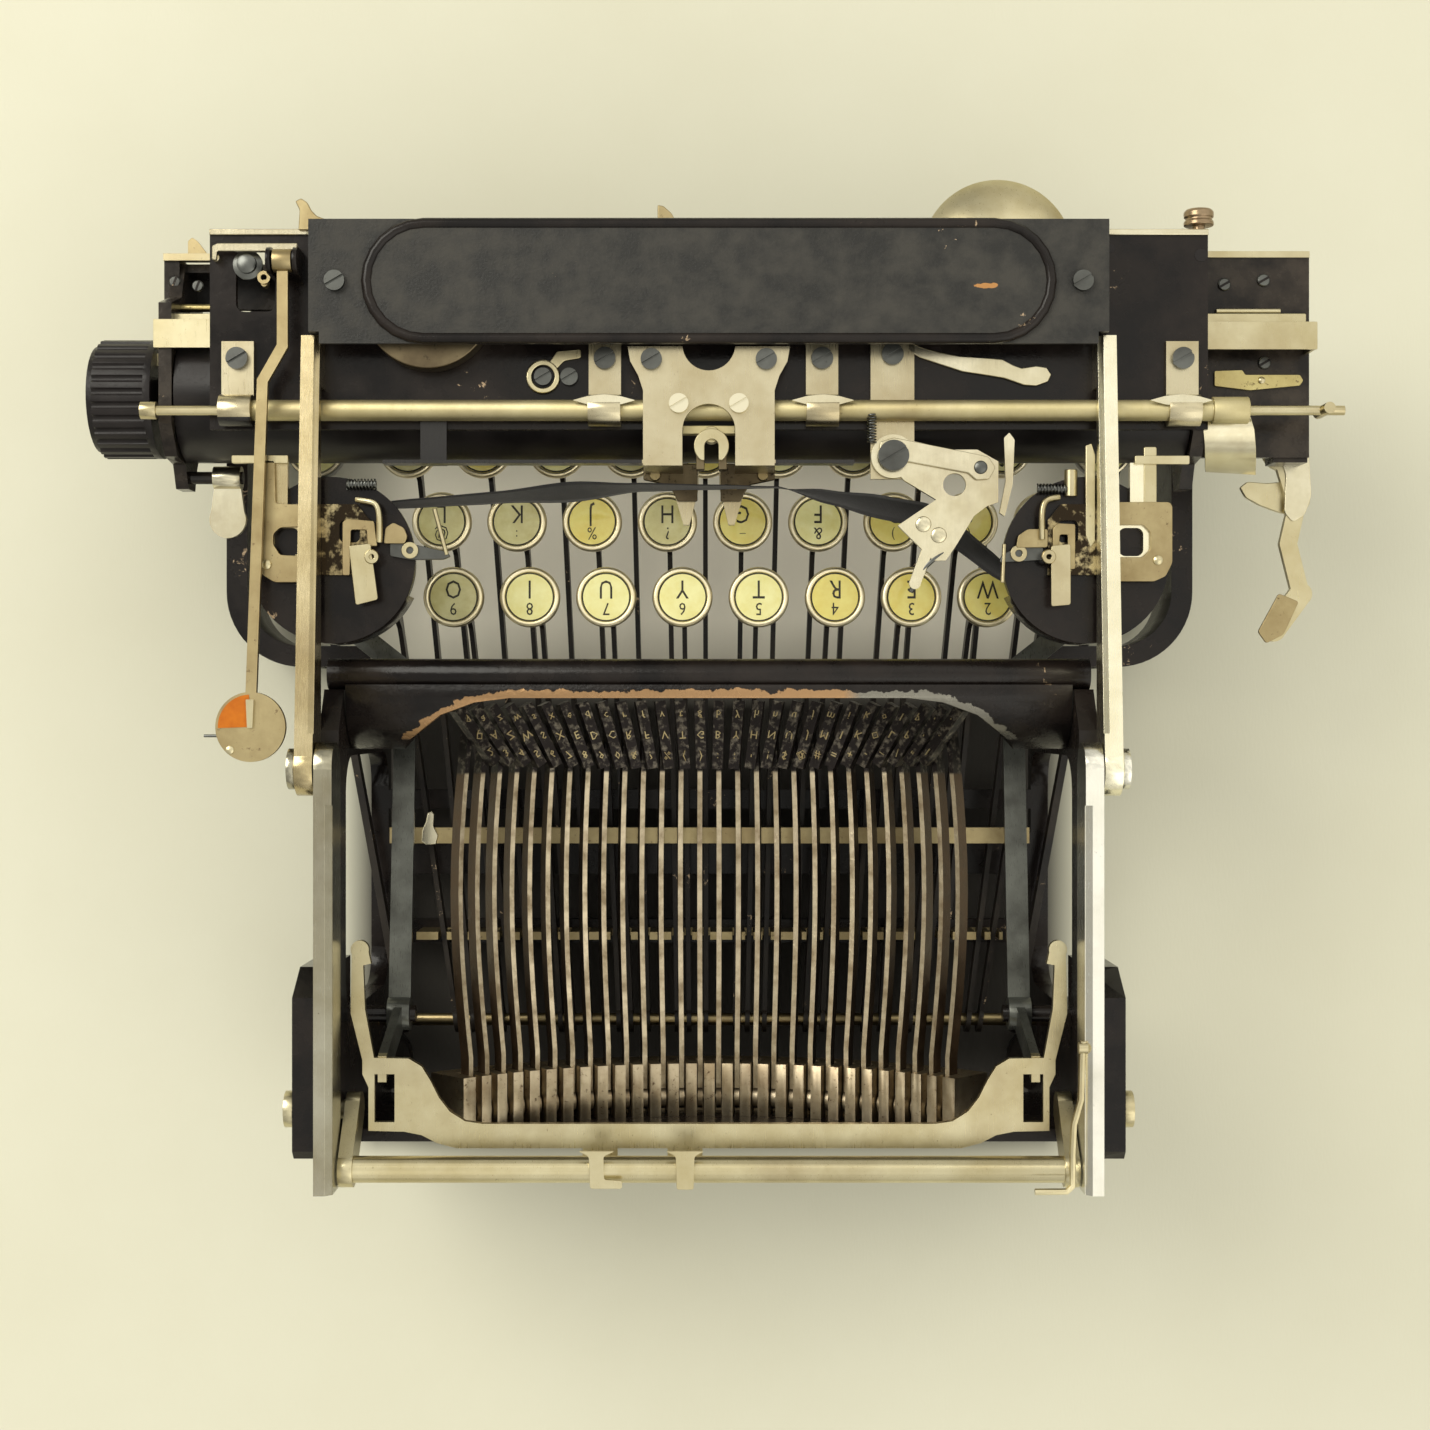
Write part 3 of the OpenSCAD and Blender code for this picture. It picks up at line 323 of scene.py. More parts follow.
def coverFinish():
    # leather grain enamel with a few tan chips
    finish, tree, bsdf = newFinish("coverEnamel")
    color, cloud, chip = enamelColor(tree, coverEnamel)
    x, y, z = axes(tree, objectSpot(tree))
    ragged = effect(tree, "patina", Scale=700.0, Low=0.25, High=0.75)
    for spotX, spotY, halfX, halfY in coverMarks["spots"]:
        dx = sums(tree, "MULTIPLY", sums(tree, "SUBTRACT", x, spotX * mm), 1.0 / (halfX * mm))
        dy = sums(tree, "MULTIPLY", sums(tree, "SUBTRACT", y, spotY * mm), 1.0 / (halfY * mm))
        away = sums(tree, "ADD", sums(tree, "MULTIPLY", dx, dx), sums(tree, "MULTIPLY", dy, dy))
        mark = remap(tree, sums(tree, "ADD", away, ragged), 1.2, 1.3, 1.0, 0.0)
        color = mixed(tree, mark, color, coverMarks["tan"])
    tree.links.new(color, bsdf.inputs["Base Color"])
    tree.links.new(remap(tree, cloud, 0.0, 1.0, *coverEnamel["gloss"]), bsdf.inputs["Roughness"])
    bsdf.inputs["Specular IOR Level"].default_value = coverEnamel["shine"]
    bsdf.inputs["Coat Weight"].default_value = coverEnamel["coat"]
    addBump(tree, bsdf, effect(tree, "patina", Scale=coverEnamel["grain"], Low=0.2, High=0.8), coverEnamel["bump"])
    return finish


def twoSidedColor(tree, x, tarnished, litSide):
    # plating painted brighter on the -X side of the machine, a painted reflection
    color, cloud, speck = platedColor(tree, tarnished)
    return mixed(tree, remap(tree, x, -0.001, 0.001), platedColor(tree, litSide)[0], color), speck


def armFinish():
    # the bracket plates at the spools are grimy brass
    finish, tree, bsdf = newFinish("armPlating")
    x, y, z = axes(tree, objectSpot(tree))
    color, speck = twoSidedColor(tree, x, armNickel, armLitSide)
    atSpools = insideBox(tree, sums(tree, "ABSOLUTE", x), y, spoolPlates["box"], 0.0001)
    atSpools = sums(tree, "MULTIPLY", atSpools, remap(tree, z, spoolPlates["top"], spoolPlates["top"] + 0.0001, 1.0, 0.0))
    grime = effect(tree, "patina", Scale=330.0, Low=0.4, High=0.52)
    color = mixed(tree, atSpools, color, mixed(tree, grime, platedColor(tree, spoolBrass)[0], spoolGrime))
    tree.links.new(color, bsdf.inputs["Base Color"])
    bsdf.inputs["Metallic"].default_value = 1.0
    tree.links.new(remap(tree, effect(tree, "scratch", Scale=4200.0), 0.0, 1.0, *armNickel["gloss"]), bsdf.inputs["Roughness"])
    addBump(tree, bsdf, speck, armNickel["bump"], 0.00004)
    return finish


def railFinish():
    finish, tree, bsdf = newFinish("railPlating")
    x, y, z = axes(tree, objectSpot(tree))
    color, speck = twoSidedColor(tree, x, railNickel, railLitSide)
    tree.links.new(color, bsdf.inputs["Base Color"])
    bsdf.inputs["Metallic"].default_value = 1.0
    tree.links.new(remap(tree, effect(tree, "scratch", Scale=4200.0), 0.0, 1.0, *railNickel["gloss"]), bsdf.inputs["Roughness"])
    addBump(tree, bsdf, speck, railNickel["bump"], 0.00004)
    return finish


def bracketFinish():
    # nickel brackets; the line scales behind them are black
    finish, tree, bsdf = newFinish("bracketNickel")
    color, cloud, speck = platedColor(tree, dict(nickel, bright=(0.58, 0.52, 0.36), warm=(0.47, 0.4, 0.25), speckAmount=0.42))
    x, y, z = axes(tree, objectSpot(tree))
    beside = remap(tree, sums(tree, "ABSOLUTE", x), 0.0151, 0.0152)
    behind = sums(tree, "MULTIPLY", remap(tree, y, -0.0510, -0.0509), beside)
    leg = sums(tree, "MULTIPLY", remap(tree, y, -0.0602, -0.0601), remap(tree, x, 0.0585, 0.0590))
    clearOfStrap = remap(tree, sums(tree, "ABSOLUTE", sums(tree, "ADD", x, 0.042)), 0.0051, 0.0052)
    dark = sums(tree, "MULTIPLY", sums(tree, "MAXIMUM", behind, leg), clearOfStrap)
    atSpools = sums(tree, "MULTIPLY", remap(tree, sums(tree, "ABSOLUTE", x), 0.071, 0.072), remap(tree, y, -0.0502, -0.0501))
    color = mixed(tree, atSpools, color, platedColor(tree, spoolBrass)[0])
    tree.links.new(mixed(tree, dark, color, (0.008, 0.0065, 0.006)), bsdf.inputs["Base Color"])
    tree.links.new(sums(tree, "SUBTRACT", 1.0, dark), bsdf.inputs["Metallic"])
    tree.links.new(remap(tree, effect(tree, "scratch", Scale=4200.0), 0.0, 1.0, 0.26, 0.34), bsdf.inputs["Roughness"])
    addBump(tree, bsdf, speck, 0.1, 0.00004)
    return finish


paleScrews = (4.4, 9.2, -65.6, -60.4)


def screwsFinish():
    # blued screws; the two in the middle of the centre bracket are bright
    finish, tree, bsdf = newFinish("screwHeads")
    color, cloud, speck = platedColor(tree, screwSteel)
    x, y, z = axes(tree, objectSpot(tree))
    pale = insideBox(tree, sums(tree, "ABSOLUTE", x), y, paleScrews, 0.0001)
    tree.links.new(mixed(tree, pale, color, brightNickel["bright"]), bsdf.inputs["Base Color"])
    bsdf.inputs["Metallic"].default_value = 1.0
    tree.links.new(remap(tree, cloud, 0.0, 1.0, *screwSteel["gloss"]), bsdf.inputs["Roughness"])
    addBump(tree, bsdf, speck, screwSteel["bump"], 0.00004)
    return finish


shiftFinishFrom = {"nickelZ": 0.0815, "capX": 0.0905, "steel": (0.13, 0.135, 0.12), "steelDark": (0.065, 0.066, 0.058)}


def shiftFinish():
    # blue grey levers with a nickel yoke on top
    t = shiftFinishFrom
    finish, tree, bsdf = newFinish("shiftSteel")
    color, cloud, speck = platedColor(tree, dict(nickel, speckAmount=0.5))
    x, y, z = axes(tree, objectSpot(tree))
    grey = mixed(tree, effect(tree, "patina", Scale=110.0), t["steel"], t["steelDark"])
    onYoke = remap(tree, z, t["nickelZ"] - 0.0002, t["nickelZ"])
    tree.links.new(mixed(tree, onYoke, grey, color), bsdf.inputs["Base Color"])
    tree.links.new(remap(tree, onYoke, 0.0, 1.0, 0.7, 1.0), bsdf.inputs["Metallic"])
    scratch = effect(tree, "scratch", Scale=4200.0)
    tree.links.new(remap(tree, scratch, 0.0, 1.0, 0.26, 0.36), bsdf.inputs["Roughness"])
    addBump(tree, bsdf, speck, 0.1, 0.00004)
    return finish


def rubberFinish(name, deep, pale, gloss):
    finish, tree, bsdf = newFinish(name)
    cloud = effect(tree, "patina", Scale=70.0)
    tree.links.new(mixed(tree, cloud, deep, pale), bsdf.inputs["Base Color"])
    tree.links.new(remap(tree, cloud, 0.0, 1.0, *gloss), bsdf.inputs["Roughness"])
    bsdf.inputs["Specular IOR Level"].default_value = 0.22
    addBump(tree, bsdf, effect(tree, "specks", Scale=1600.0, Amount=0.8), 0.15)
    return finish


def cardFinish(name, pale, aged):
    # paper legend under clear glass
    finish, tree, bsdf = newFinish(name)
    stain = effect(tree, "patina", Scale=240.0, Low=0.35, High=0.75)
    tree.links.new(mixed(tree, stain, pale, aged), bsdf.inputs["Base Color"])
    tree.links.new(remap(tree, stain, 0.0, 1.0, 0.5, 0.7), bsdf.inputs["Roughness"])
    bsdf.inputs["Coat Weight"].default_value = 0.8
    bsdf.inputs["Coat Roughness"].default_value = 0.06
    return finish


def paintFinish(name, deep, pale, rough):
    finish, tree, bsdf = newFinish(name)
    cloud = effect(tree, "patina", Scale=320.0)
    tree.links.new(mixed(tree, cloud, deep, pale), bsdf.inputs["Base Color"])
    tree.links.new(remap(tree, cloud, 0.0, 1.0, rough, rough + 0.15), bsdf.inputs["Roughness"])
    bsdf.inputs["Specular IOR Level"].default_value = 0.2
    return finish


def clothFinish(name, deep, pale, count, strength):
    # plain weave on the piece's own UV map
    finish, tree, bsdf = newFinish(name)
    uv = addNode(tree, "ShaderNodeTexCoord").outputs["UV"]
    u, v, w = axes(tree, uv)
    over = sums(tree, "SINE", sums(tree, "MULTIPLY", u, count[0]))
    under = sums(tree, "SINE", sums(tree, "MULTIPLY", v, count[1]))
    weave = remap(tree, sums(tree, "MULTIPLY", over, under), -1.0, 1.0)
    tree.links.new(mixed(tree, weave, deep, pale), bsdf.inputs["Base Color"])
    tree.links.new(remap(tree, effect(tree, "patina", Scale=200.0), 0.0, 1.0, 0.75, 0.95), bsdf.inputs["Roughness"])
    bsdf.inputs["Sheen Weight"].default_value = 0.15
    addBump(tree, bsdf, weave, strength)
    return finish


finishes["typeRest"] = typeRestFinish()
finishes["typebar"] = typebarFinish()
finishes["shift"] = shiftFinish()
finishes["cover"] = coverFinish()
finishes["brackets"] = bracketFinish()
finishes["arms"] = armFinish()
finishes["rails"] = railFinish()
finishes["screws"] = screwsFinish()
finishes["platenRubber"] = rubberFinish("platenRubber", (0.009, 0.0075, 0.0075), (0.02, 0.0165, 0.016), (0.28, 0.45))
finishes["footRubber"] = rubberFinish("footRubber", (0.02, 0.019, 0.018), (0.05, 0.047, 0.043), (0.7, 0.9))
finishes["ink"] = paintFinish("legendInk", (0.03, 0.028, 0.02), (0.07, 0.062, 0.045), 0.5)
finishes["orange"] = paintFinish("orangeEnamel", (0.5, 0.14, 0.006), (0.42, 0.105, 0.005), 0.45)
finishes["ribbon"] = clothFinish("inkedRibbon", (0.006, 0.0055, 0.006), (0.02, 0.018, 0.018), (1400.0, 120.0), 0.3)
cards = [cardFinish("cardPale", (0.98, 0.94, 0.44), (0.88, 0.8, 0.28)),
         cardFinish("cardYellow", (0.88, 0.78, 0.22), (0.8, 0.64, 0.13)),
         cardFinish("cardGrey", (0.66, 0.62, 0.29), (0.52, 0.46, 0.18))]
print("finishes made:", len(finishes) + len(cards))


# finishes on the CAD nodes, with softened edges

nodeFinish = {
    "base_casting": ("blackEnamel", 0.5), "type_rest": ("typeRest", 0.3), "type_segment": ("segmentSteel", 0.12),
    "typebars": ("typebar", 0.0), "strike_typebar": ("typebar", 0.0), "lever_comb": ("dullNickel", 0.15),
    "side_rails": ("rails", 0.35), "rubber_feet": ("footRubber", 0.6), "shift_frame": ("shift", 0.2),
    "space_bar": ("leverEnamel", 0.3), "latch_bail": ("agedNickel", 0.3), "carriage_arms": ("arms", 0.35),
    "frame_plate": ("blackEnamel", 0.25), "back_cover": ("cover", 0.4), "rail_tube": ("tubeNickel", 0.15),
    "rail_brackets": ("brackets", 0.25), "frame_screws": ("screws", 0.15), "bell": ("agedNickel", 0.0),
    "spool_cups": ("blackEnamel", 0.4), "vibrator_lever": ("brightNickel", 0.2), "reverse_rod": ("agedNickel", 0.15),
    "spring_drum": ("dirtyBronze", 0.3), "left_spool": ("screwSteel", 0.15), "right_spool": ("screwSteel", 0.15),
    "color_lever": ("dullNickel", 0.2), "carriage_truck": ("truckEnamel", 0.35), "carriage_rail": ("agedNickel", 0.3),
    "platen": ("platenRubber", 0.25), "line_space_lever": ("agedNickel", 0.25),
    "release_lever": ("brightNickel", 0.2), "paper_table": ("blackEnamel", 0.15),
}


def dressNode(name, finishName, edge):
    node = cad[name]
    node.data.materials.clear()
    node.data.materials.append(finishes[finishName])
    if not edge:
        return
    weld = node.modifiers.new("weld", "WELD")
    weld.merge_threshold = 0.000002
    bevel = node.modifiers.new("edges", "BEVEL")
    bevel.affect = "EDGES"
    bevel.width = edge * mm
    bevel.segments = 2
    bevel.profile = 0.5
    bevel.material = -1
    bevel.limit_method = "ANGLE"
    bevel.angle_limit = math.radians(38)
    bevel.harden_normals = True


for name, (finishName, edge) in nodeFinish.items():
    dressNode(name, finishName, edge)
print("CAD nodes dressed:", len(nodeFinish))


# modelling helpers, all in millimetres until a piece is finished

def raised(bm, height):
    grown = bmesh.ops.extrude_face_region(bm, geom=bm.faces[:])
    bmesh.ops.translate(bm, vec=(0, 0, height), verts=[g for g in grown["geom"] if isinstance(g, bmesh.types.BMVert)])
    return bm


def plate(outline, low, high, corner=0.0):
    bm = bmesh.new()
    bm.faces.new([bm.verts.new((x, y, low)) for x, y in outline])
    if corner:
        bmesh.ops.bevel(bm, geom=bm.verts[:], offset=corner, offset_type="OFFSET", segments=4, profile=0.5,
                        affect="VERTICES", material=-1, clamp_overlap=True)
    return raised(bm, high - low)


def band(outer, inner, low, high):
    # flat strip between two lines of points
    bm = bmesh.new()
    rows = [(bm.verts.new((*a, low)), bm.verts.new((*b, low))) for a, b in zip(outer, inner)]
    for (a, b), (c, d) in zip(rows, rows[1:]):
        bm.faces.new((a, b, d, c))
    return raised(bm, high - low)


def turned(profile, centre, axis="Z", steps=32):
    bm = bmesh.new()
    verts = [bm.verts.new((r, 0, z)) for r, z in profile]
    edges = [bm.edges.new(pair) for pair in zip(verts, verts[1:])]
    bmesh.ops.spin(bm, geom=verts + edges, cent=(0, 0, 0), axis=(0, 0, 1), angle=2 * math.pi, steps=steps,
                   use_merge=True)
    bmesh.ops.remove_doubles(bm, verts=bm.verts, dist=1e-4)
    turn = {"Z": Matrix(), "X": Matrix.Rotation(math.pi / 2, 4, "Y"), "Y": Matrix.Rotation(-math.pi / 2, 4, "X")}
    bmesh.ops.transform(bm, matrix=Matrix.Translation(centre) @ turn[axis], verts=bm.verts)
    return bm


def rod(start, end, radius, steps=18, tip=None):
    start, end = Vector(start), Vector(end)
    bm = bmesh.new()
    bmesh.ops.create_cone(bm, cap_ends=True, segments=steps, radius1=radius,
                          radius2=radius if tip is None else tip, depth=(end - start).length)
    turn = (end - start).to_track_quat("Z", "Y").to_matrix().to_4x4()
    bmesh.ops.transform(bm, matrix=Matrix.Translation((start + end) / 2) @ turn, verts=bm.verts)
    return bm


def fromObject(data):
    holder = bpy.data.objects.new("holder", data)
    mesh = bpy.data.meshes.new_from_object(holder)
    bm = bmesh.new()
    bm.from_mesh(mesh)
    bpy.data.objects.remove(holder)
    bpy.data.meshes.remove(mesh)
    return bm


def wire(path, radius, roundness=2, smooth=True, closed=False):
    curve = bpy.data.curves.new("wire", "CURVE")
    curve.dimensions = "3D"
    curve.bevel_depth = radius
    curve.bevel_resolution = roundness
    curve.resolution_u = 4
    spline = curve.splines.new("NURBS" if smooth else "POLY")
    spline.points.add(len(path) - 1)
    spline.use_cyclic_u = closed
    for point, place in zip(spline.points, path):
        point.co = (*place, 1.0)
    if smooth:
        spline.use_endpoint_u = True
        spline.order_u = 3
    bm = fromObject(curve)
    bpy.data.curves.remove(curve)
    bmesh.ops.remove_doubles(bm, verts=bm.verts, dist=1e-4)
    bmesh.ops.holes_fill(bm, edges=[e for e in bm.edges if e.is_boundary], sides=0)
    return bm


def coil(start, end, radius, turns, gauge):
    start, end = Vector(start), Vector(end)
    turn = (end - start).to_track_quat("Z", "Y")
    steps = int(turns * 10)
    path = [start + turn @ Vector((radius * math.cos(2 * math.pi * i / 10), radius * math.sin(2 * math.pi * i / 10),
                                   (end - start).length * i / steps)) for i in range(steps + 1)]
    return wire(path, gauge, 1)


def lettering(words, height, centre, depth=0.06, mirrored=False, fine=2, slim=1.0):
    font = bpy.data.curves.new("lettering", "FONT")
    font.body = words
    font.size = height / 0.72
    font.align_x = "CENTER"
    font.align_y = "CENTER"
    font.resolution_u = fine
    font.extrude = depth / 2
    bm = fromObject(font)
    bpy.data.curves.remove(font)
    flip = Matrix.Diagonal((-slim if mirrored else slim, 1, 1, 1))
    bmesh.ops.remove_doubles(bm, verts=bm.verts, dist=1e-4)
    if bm.verts:
        low = Vector([min(v.co[i] for v in bm.verts) for i in range(3)])
        high = Vector([max(v.co[i] for v in bm.verts) for i in range(3)])
        flip = flip @ Matrix.Translation(-(low + high) / 2)
    bmesh.ops.transform(bm, matrix=Matrix.Translation(centre) @ flip, verts=bm.verts)
    return bm


def joined(*parts):
    # parts are (bmesh, finish index)
    whole = bmesh.new()
    for bm, finish in parts:
        for face in bm.faces:
            face.material_index = finish
        bmesh.ops.recalc_face_normals(bm, faces=bm.faces)
        shell = bpy.data.meshes.new("shell")
        bm.to_mesh(shell)
        bm.free()
        whole.from_mesh(shell)
        bpy.data.meshes.remove(shell)
    return whole


def finishPiece(name, bm, body, finishNames, edge=0.15, smooth=35.0):
    bmesh.ops.scale(bm, vec=(mm, mm, mm), verts=bm.verts)
    mesh = bpy.data.meshes.new(name)
    bm.to_mesh(mesh)
    bm.free()
    for finish in finishNames:
        mesh.materials.append(finishes[finish] if isinstance(finish, str) else finish)
    mesh.shade_smooth()
    mesh.set_sharp_from_angle(angle=math.radians(smooth))
    piece = bpy.data.objects.new(name, mesh)
    bpy.context.scene.collection.objects.link(piece)
    if edge:
        bevel = piece.modifiers.new("edges", "BEVEL")
        bevel.affect = "EDGES"
        bevel.width = edge * mm
        bevel.segments = 2
        bevel.profile = 0.5
        bevel.material = -1
        bevel.limit_method = "ANGLE"
        bevel.angle_limit = math.radians(40)
    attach(piece, body)
    return piece


def slotScrew(centre, radius, height=1.3, axis="Z", turn=30.0):
    # round head with a saw cut
    head = turned([(0, 0), (radius, 0), (radius, height * 0.55), (radius * 0.82, height * 0.92), (0, height)],
                  (0, 0, 0), "Z", 24)
    bar = plate([(-radius * 0.96, -0.28), (radius * 0.96, -0.28), (radius * 0.96, 0.28), (-radius * 0.96, 0.28)],
                height * 0.86, height * 1.03)
    bmesh.ops.rotate(bar, cent=(0, 0, 0), matrix=Matrix.Rotation(math.radians(turn), 3, "Z"), verts=bar.verts)
    turnTo = {"Z": Matrix(), "Y": Matrix.Rotation(math.pi / 2, 4, "X"), "X": Matrix.Rotation(math.pi / 2, 4, "Y"),
              "-X": Matrix.Rotation(-math.pi / 2, 4, "Y")}[axis]
    for bm in (head, bar):
        bmesh.ops.transform(bm, matrix=Matrix.Translation(centre) @ turnTo, verts=bm.verts)
    return head, bar


def rivet(x, y, z, radius, height=0.7):
    return turned([(0, 0), (radius, 0), (radius * 0.92, height * 0.5), (radius * 0.6, height * 0.88), (0, height)],
                  (x, y, z), "Z", 20)


# keys

keyboard = {"pitch": 18.5, "gap": 18.9, "step": 7.5, "topZ": 56.0, "mid": (-2.75, -8.2, 1.1), "y0": -21.1, "ring": 7.3,
            "capHeight": 4.0, "shaftY": 86.0, "shaftZ": 20.0, "squeeze": 0.81, "leverT": 1.2, "leverH": 4.4,
            "letter": 4.6, "figure": 3.1}
legends = [
    [("q", "Q", "1"), ("w", "W", "2"), ("e", "E", "3"), ("r", "R", "4"), ("t", "T", "5"), ("y", "Y", "6"),
     ("u", "U", "7"), ("i", "I", "8"), ("o", "O", "9"), ("p", "P", "0")],
    [("a", "A", "\""), ("s", "S", "("), ("d", "D", ")"), ("f", "F", "&"), ("g", "G", "_"), ("h", "H", "?"),
     ("j", "J", "%"), ("k", "K", ":"), ("l", "L", "@")],
    [("z", "Z", "$"), ("x", "X", "#"), ("c", "C", "="), ("v", "V", "+"), ("b", "B", "'"), ("n", "N", "-"),
     ("m", "M", "!"), ("comma", ",", ";"), ("period", ".", "/")],
]
cardOf = {"j": 1, "u": 0, "i": 0, "y": 0, "t": 0, "r": 1, "e": 1, "w": 1, "k": 2, "o": 2, "d": 1, "s": 1, "l": 2, "q": 2}


def keyPlace(bank, index):
    k = keyboard
    x = k["mid"][bank] + (index - (len(legends[bank]) - 1) / 2) * k["pitch"]
    return x, k["y0"] - bank * k["gap"], k["topZ"] - bank * k["step"]


def keyTop(x, y, base, letter, figure):
    k = keyboard
    r = k["ring"]
    ring = turned([(0, 0), (r - 0.7, 0), (r - 0.2, 0.35), (r, 1.1), (r, 3.1), (r - 0.16, 3.62), (r - 0.5, 3.9),
                   (r - 0.85, 3.98), (r - 1.16, 3.86), (r - 1.4, 3.5), (r - 1.45, 3.0), (0, 3.0)], (x, y, base), "Z", 48)
    card = turned([(0, 3.02), (r - 1.62, 3.02), (r - 1.62, 3.36), (r - 2, 3.44), (3, 3.52), (0, 3.56)], (x, y, base), "Z", 48)
    line = turned([(r - 1.72, 3.05), (r - 1.4, 3.05), (r - 1.4, 3.4), (r - 1.72, 3.42), (r - 1.72, 3.05)],
                  (x, y, base), "Z", 48)
    top = base + 3.55
    parts = [(ring, 0), (card, 1), (line, 2),
             (lettering(letter, k["letter"], (x, y - 1.8, top), 0.06, slim=0.8), 2)]
    if figure:
        tall = k["figure"] if figure.isdigit() or figure in "&?%@#$" else k["figure"] * 0.8
        parts.append((lettering(figure, tall, (x, y + 2.9, top - 0.02), 0.06, slim=0.85), 2))
    return parts


def keyLever(x, y, base):
    k = keyboard
    rootX = x * k["squeeze"]
    out = Vector((x - rootX, y - k["shaftY"], 0))
    reach = out.length
    out.normalize()
    half = k["leverH"] / 2
    rise = base - k["shaftZ"] - 0.02
    bar = plate([(0, -half), (reach - 3, -half), (reach + 1.6, 4.4), (reach + 2, 6.0), (reach + 2, rise), (reach - 2, rise),
                 (reach - 2, 9), (reach - 6.4, 2.6), (reach - 8.5, half), (0, half)], -k["leverT"] / 2, k["leverT"] / 2)
    boss = rod((0, 0, -k["leverT"] / 2), (0, 0, k["leverT"] / 2), 3.4, 24)
    stand = Matrix((out, (0, 0, 1), out.cross(Vector((0, 0, 1))))).transposed().to_4x4()
    for bm in (bar, boss):
        bmesh.ops.transform(bm, matrix=Matrix.Translation((rootX, k["shaftY"], k["shaftZ"])) @ stand, verts=bm.verts)
    return [(bar, 3), (boss, 3)]


for bank, row in enumerate(legends):
    for index, (key, letter, figure) in enumerate(row):
        x, y, top = keyPlace(bank, index)
        base = top - keyboard["capHeight"]
        bm = joined(*keyTop(x, y, base, letter, figure), *keyLever(x, y, base))
        card = cards[cardOf.get(key, index % 3)]
        piece = finishPiece("keyPiece_" + key, bm, "key_" + key, ["keyNickel", card, "ink", "leverEnamel"], 0)
        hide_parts("key_" + key)
print("keys made:", sum(len(row) for row in legends))

shiftCaps = {"x": 98.0, "words": ("CAP", "FIG")}
parts = []
for side in (-1, 1):
    for bank in (1, 2):
        x, y, top = side * shiftCaps["x"], keyPlace(bank, 0)[1], keyPlace(bank, 0)[2]
        parts.append((turned([(0, 0.02), (6.1, 0.02), (6.1, 0.2), (3, 0.34), (0, 0.38)], (x, y, top), "Z", 40), 0))
        parts.append((turned([(6.15, 0.0), (7.2, 0.0), (7.05, 0.35), (6.6, 0.5), (6.2, 0.35), (6.15, 0.0)], (x, y, top),
                             "Z", 40), 2))
        parts.append((lettering(shiftCaps["words"][bank - 1], 2.4, (x, y, top + 0.36), 0.06), 1))
finishPiece("shiftKeyTops", joined(*parts), "shift", [cards[0], "ink", "keyNickel"], 0)


# type slugs: raised characters, mirrored as type is

typeFan = {"count": 28, "step": 3.0, "pivotY": 102.9, "axisZ": 127.0, "length": 90.5, "slugTop": 4.9, "rise": 5.2}
typeFan["radius"] = math.sqrt(typeFan["length"] ** 2 - 11.2 ** 2)
typeOrder = "qazwsxedcrfvtgbyhnujmikolp,."


def slugPlace(index):
    f = typeFan
    a = math.radians((index - (f["count"] - 1) / 2) * f["step"])
    swing = Matrix.Translation((0, f["pivotY"], f["axisZ"])) @ Matrix.Rotation(a, 4, "Y") \
        @ Matrix.Translation((0, 0, -f["radius"]))
    return swing @ Matrix.Translation((0, -f["length"], f["slugTop"])) @ Matrix.Rotation(-a, 4, "Z")


def slugType(index):
    letter = typeOrder[index]
    parts = []
    for spot, sign in enumerate((letter, letter.upper(), "234567890&?%():;'!$@#=+-_/\"1"[index])):
        bm = lettering(sign, 2.0, (0, (spot - 1) * typeFan["rise"], 0.12), 0.34, mirrored=True, fine=1)
        bmesh.ops.transform(bm, matrix=slugPlace(index), verts=bm.verts)
        parts.append((bm, 0))
    return parts


striker = typeFan["count"] // 2
resting = [part for i in range(typeFan["count"]) if i != striker for part in slugType(i)]
finishPiece("typeFaces", joined(*resting), "base", ["dullNickel"], 0)
finishPiece("strikeFace", joined(*slugType(striker)), "strike_typebar", ["dullNickel"], 0)
print("type faces made")


# ribbon, a narrow strip of cloth that turns on its way between the spools

ribbon = {"width": 11.5, "z": 78.0, "thickness": 0.16,
          "path": [(82.0, -40.7), (66.0, -41.8), (49.0, -43.0), (32.0, -44.3), (16.0, -45.4), (0.0, -45.4), (-16.0, -45.4),
                   (-28.0, -43.1), (-40.0, -40.8), (-52.0, -38.5), (-65.0, -28.1), (-77.9, -17.7)],
          "lean": [0, 5, 8, 18, 4, 0, -4, -22, -34, -36, -30, 0]}


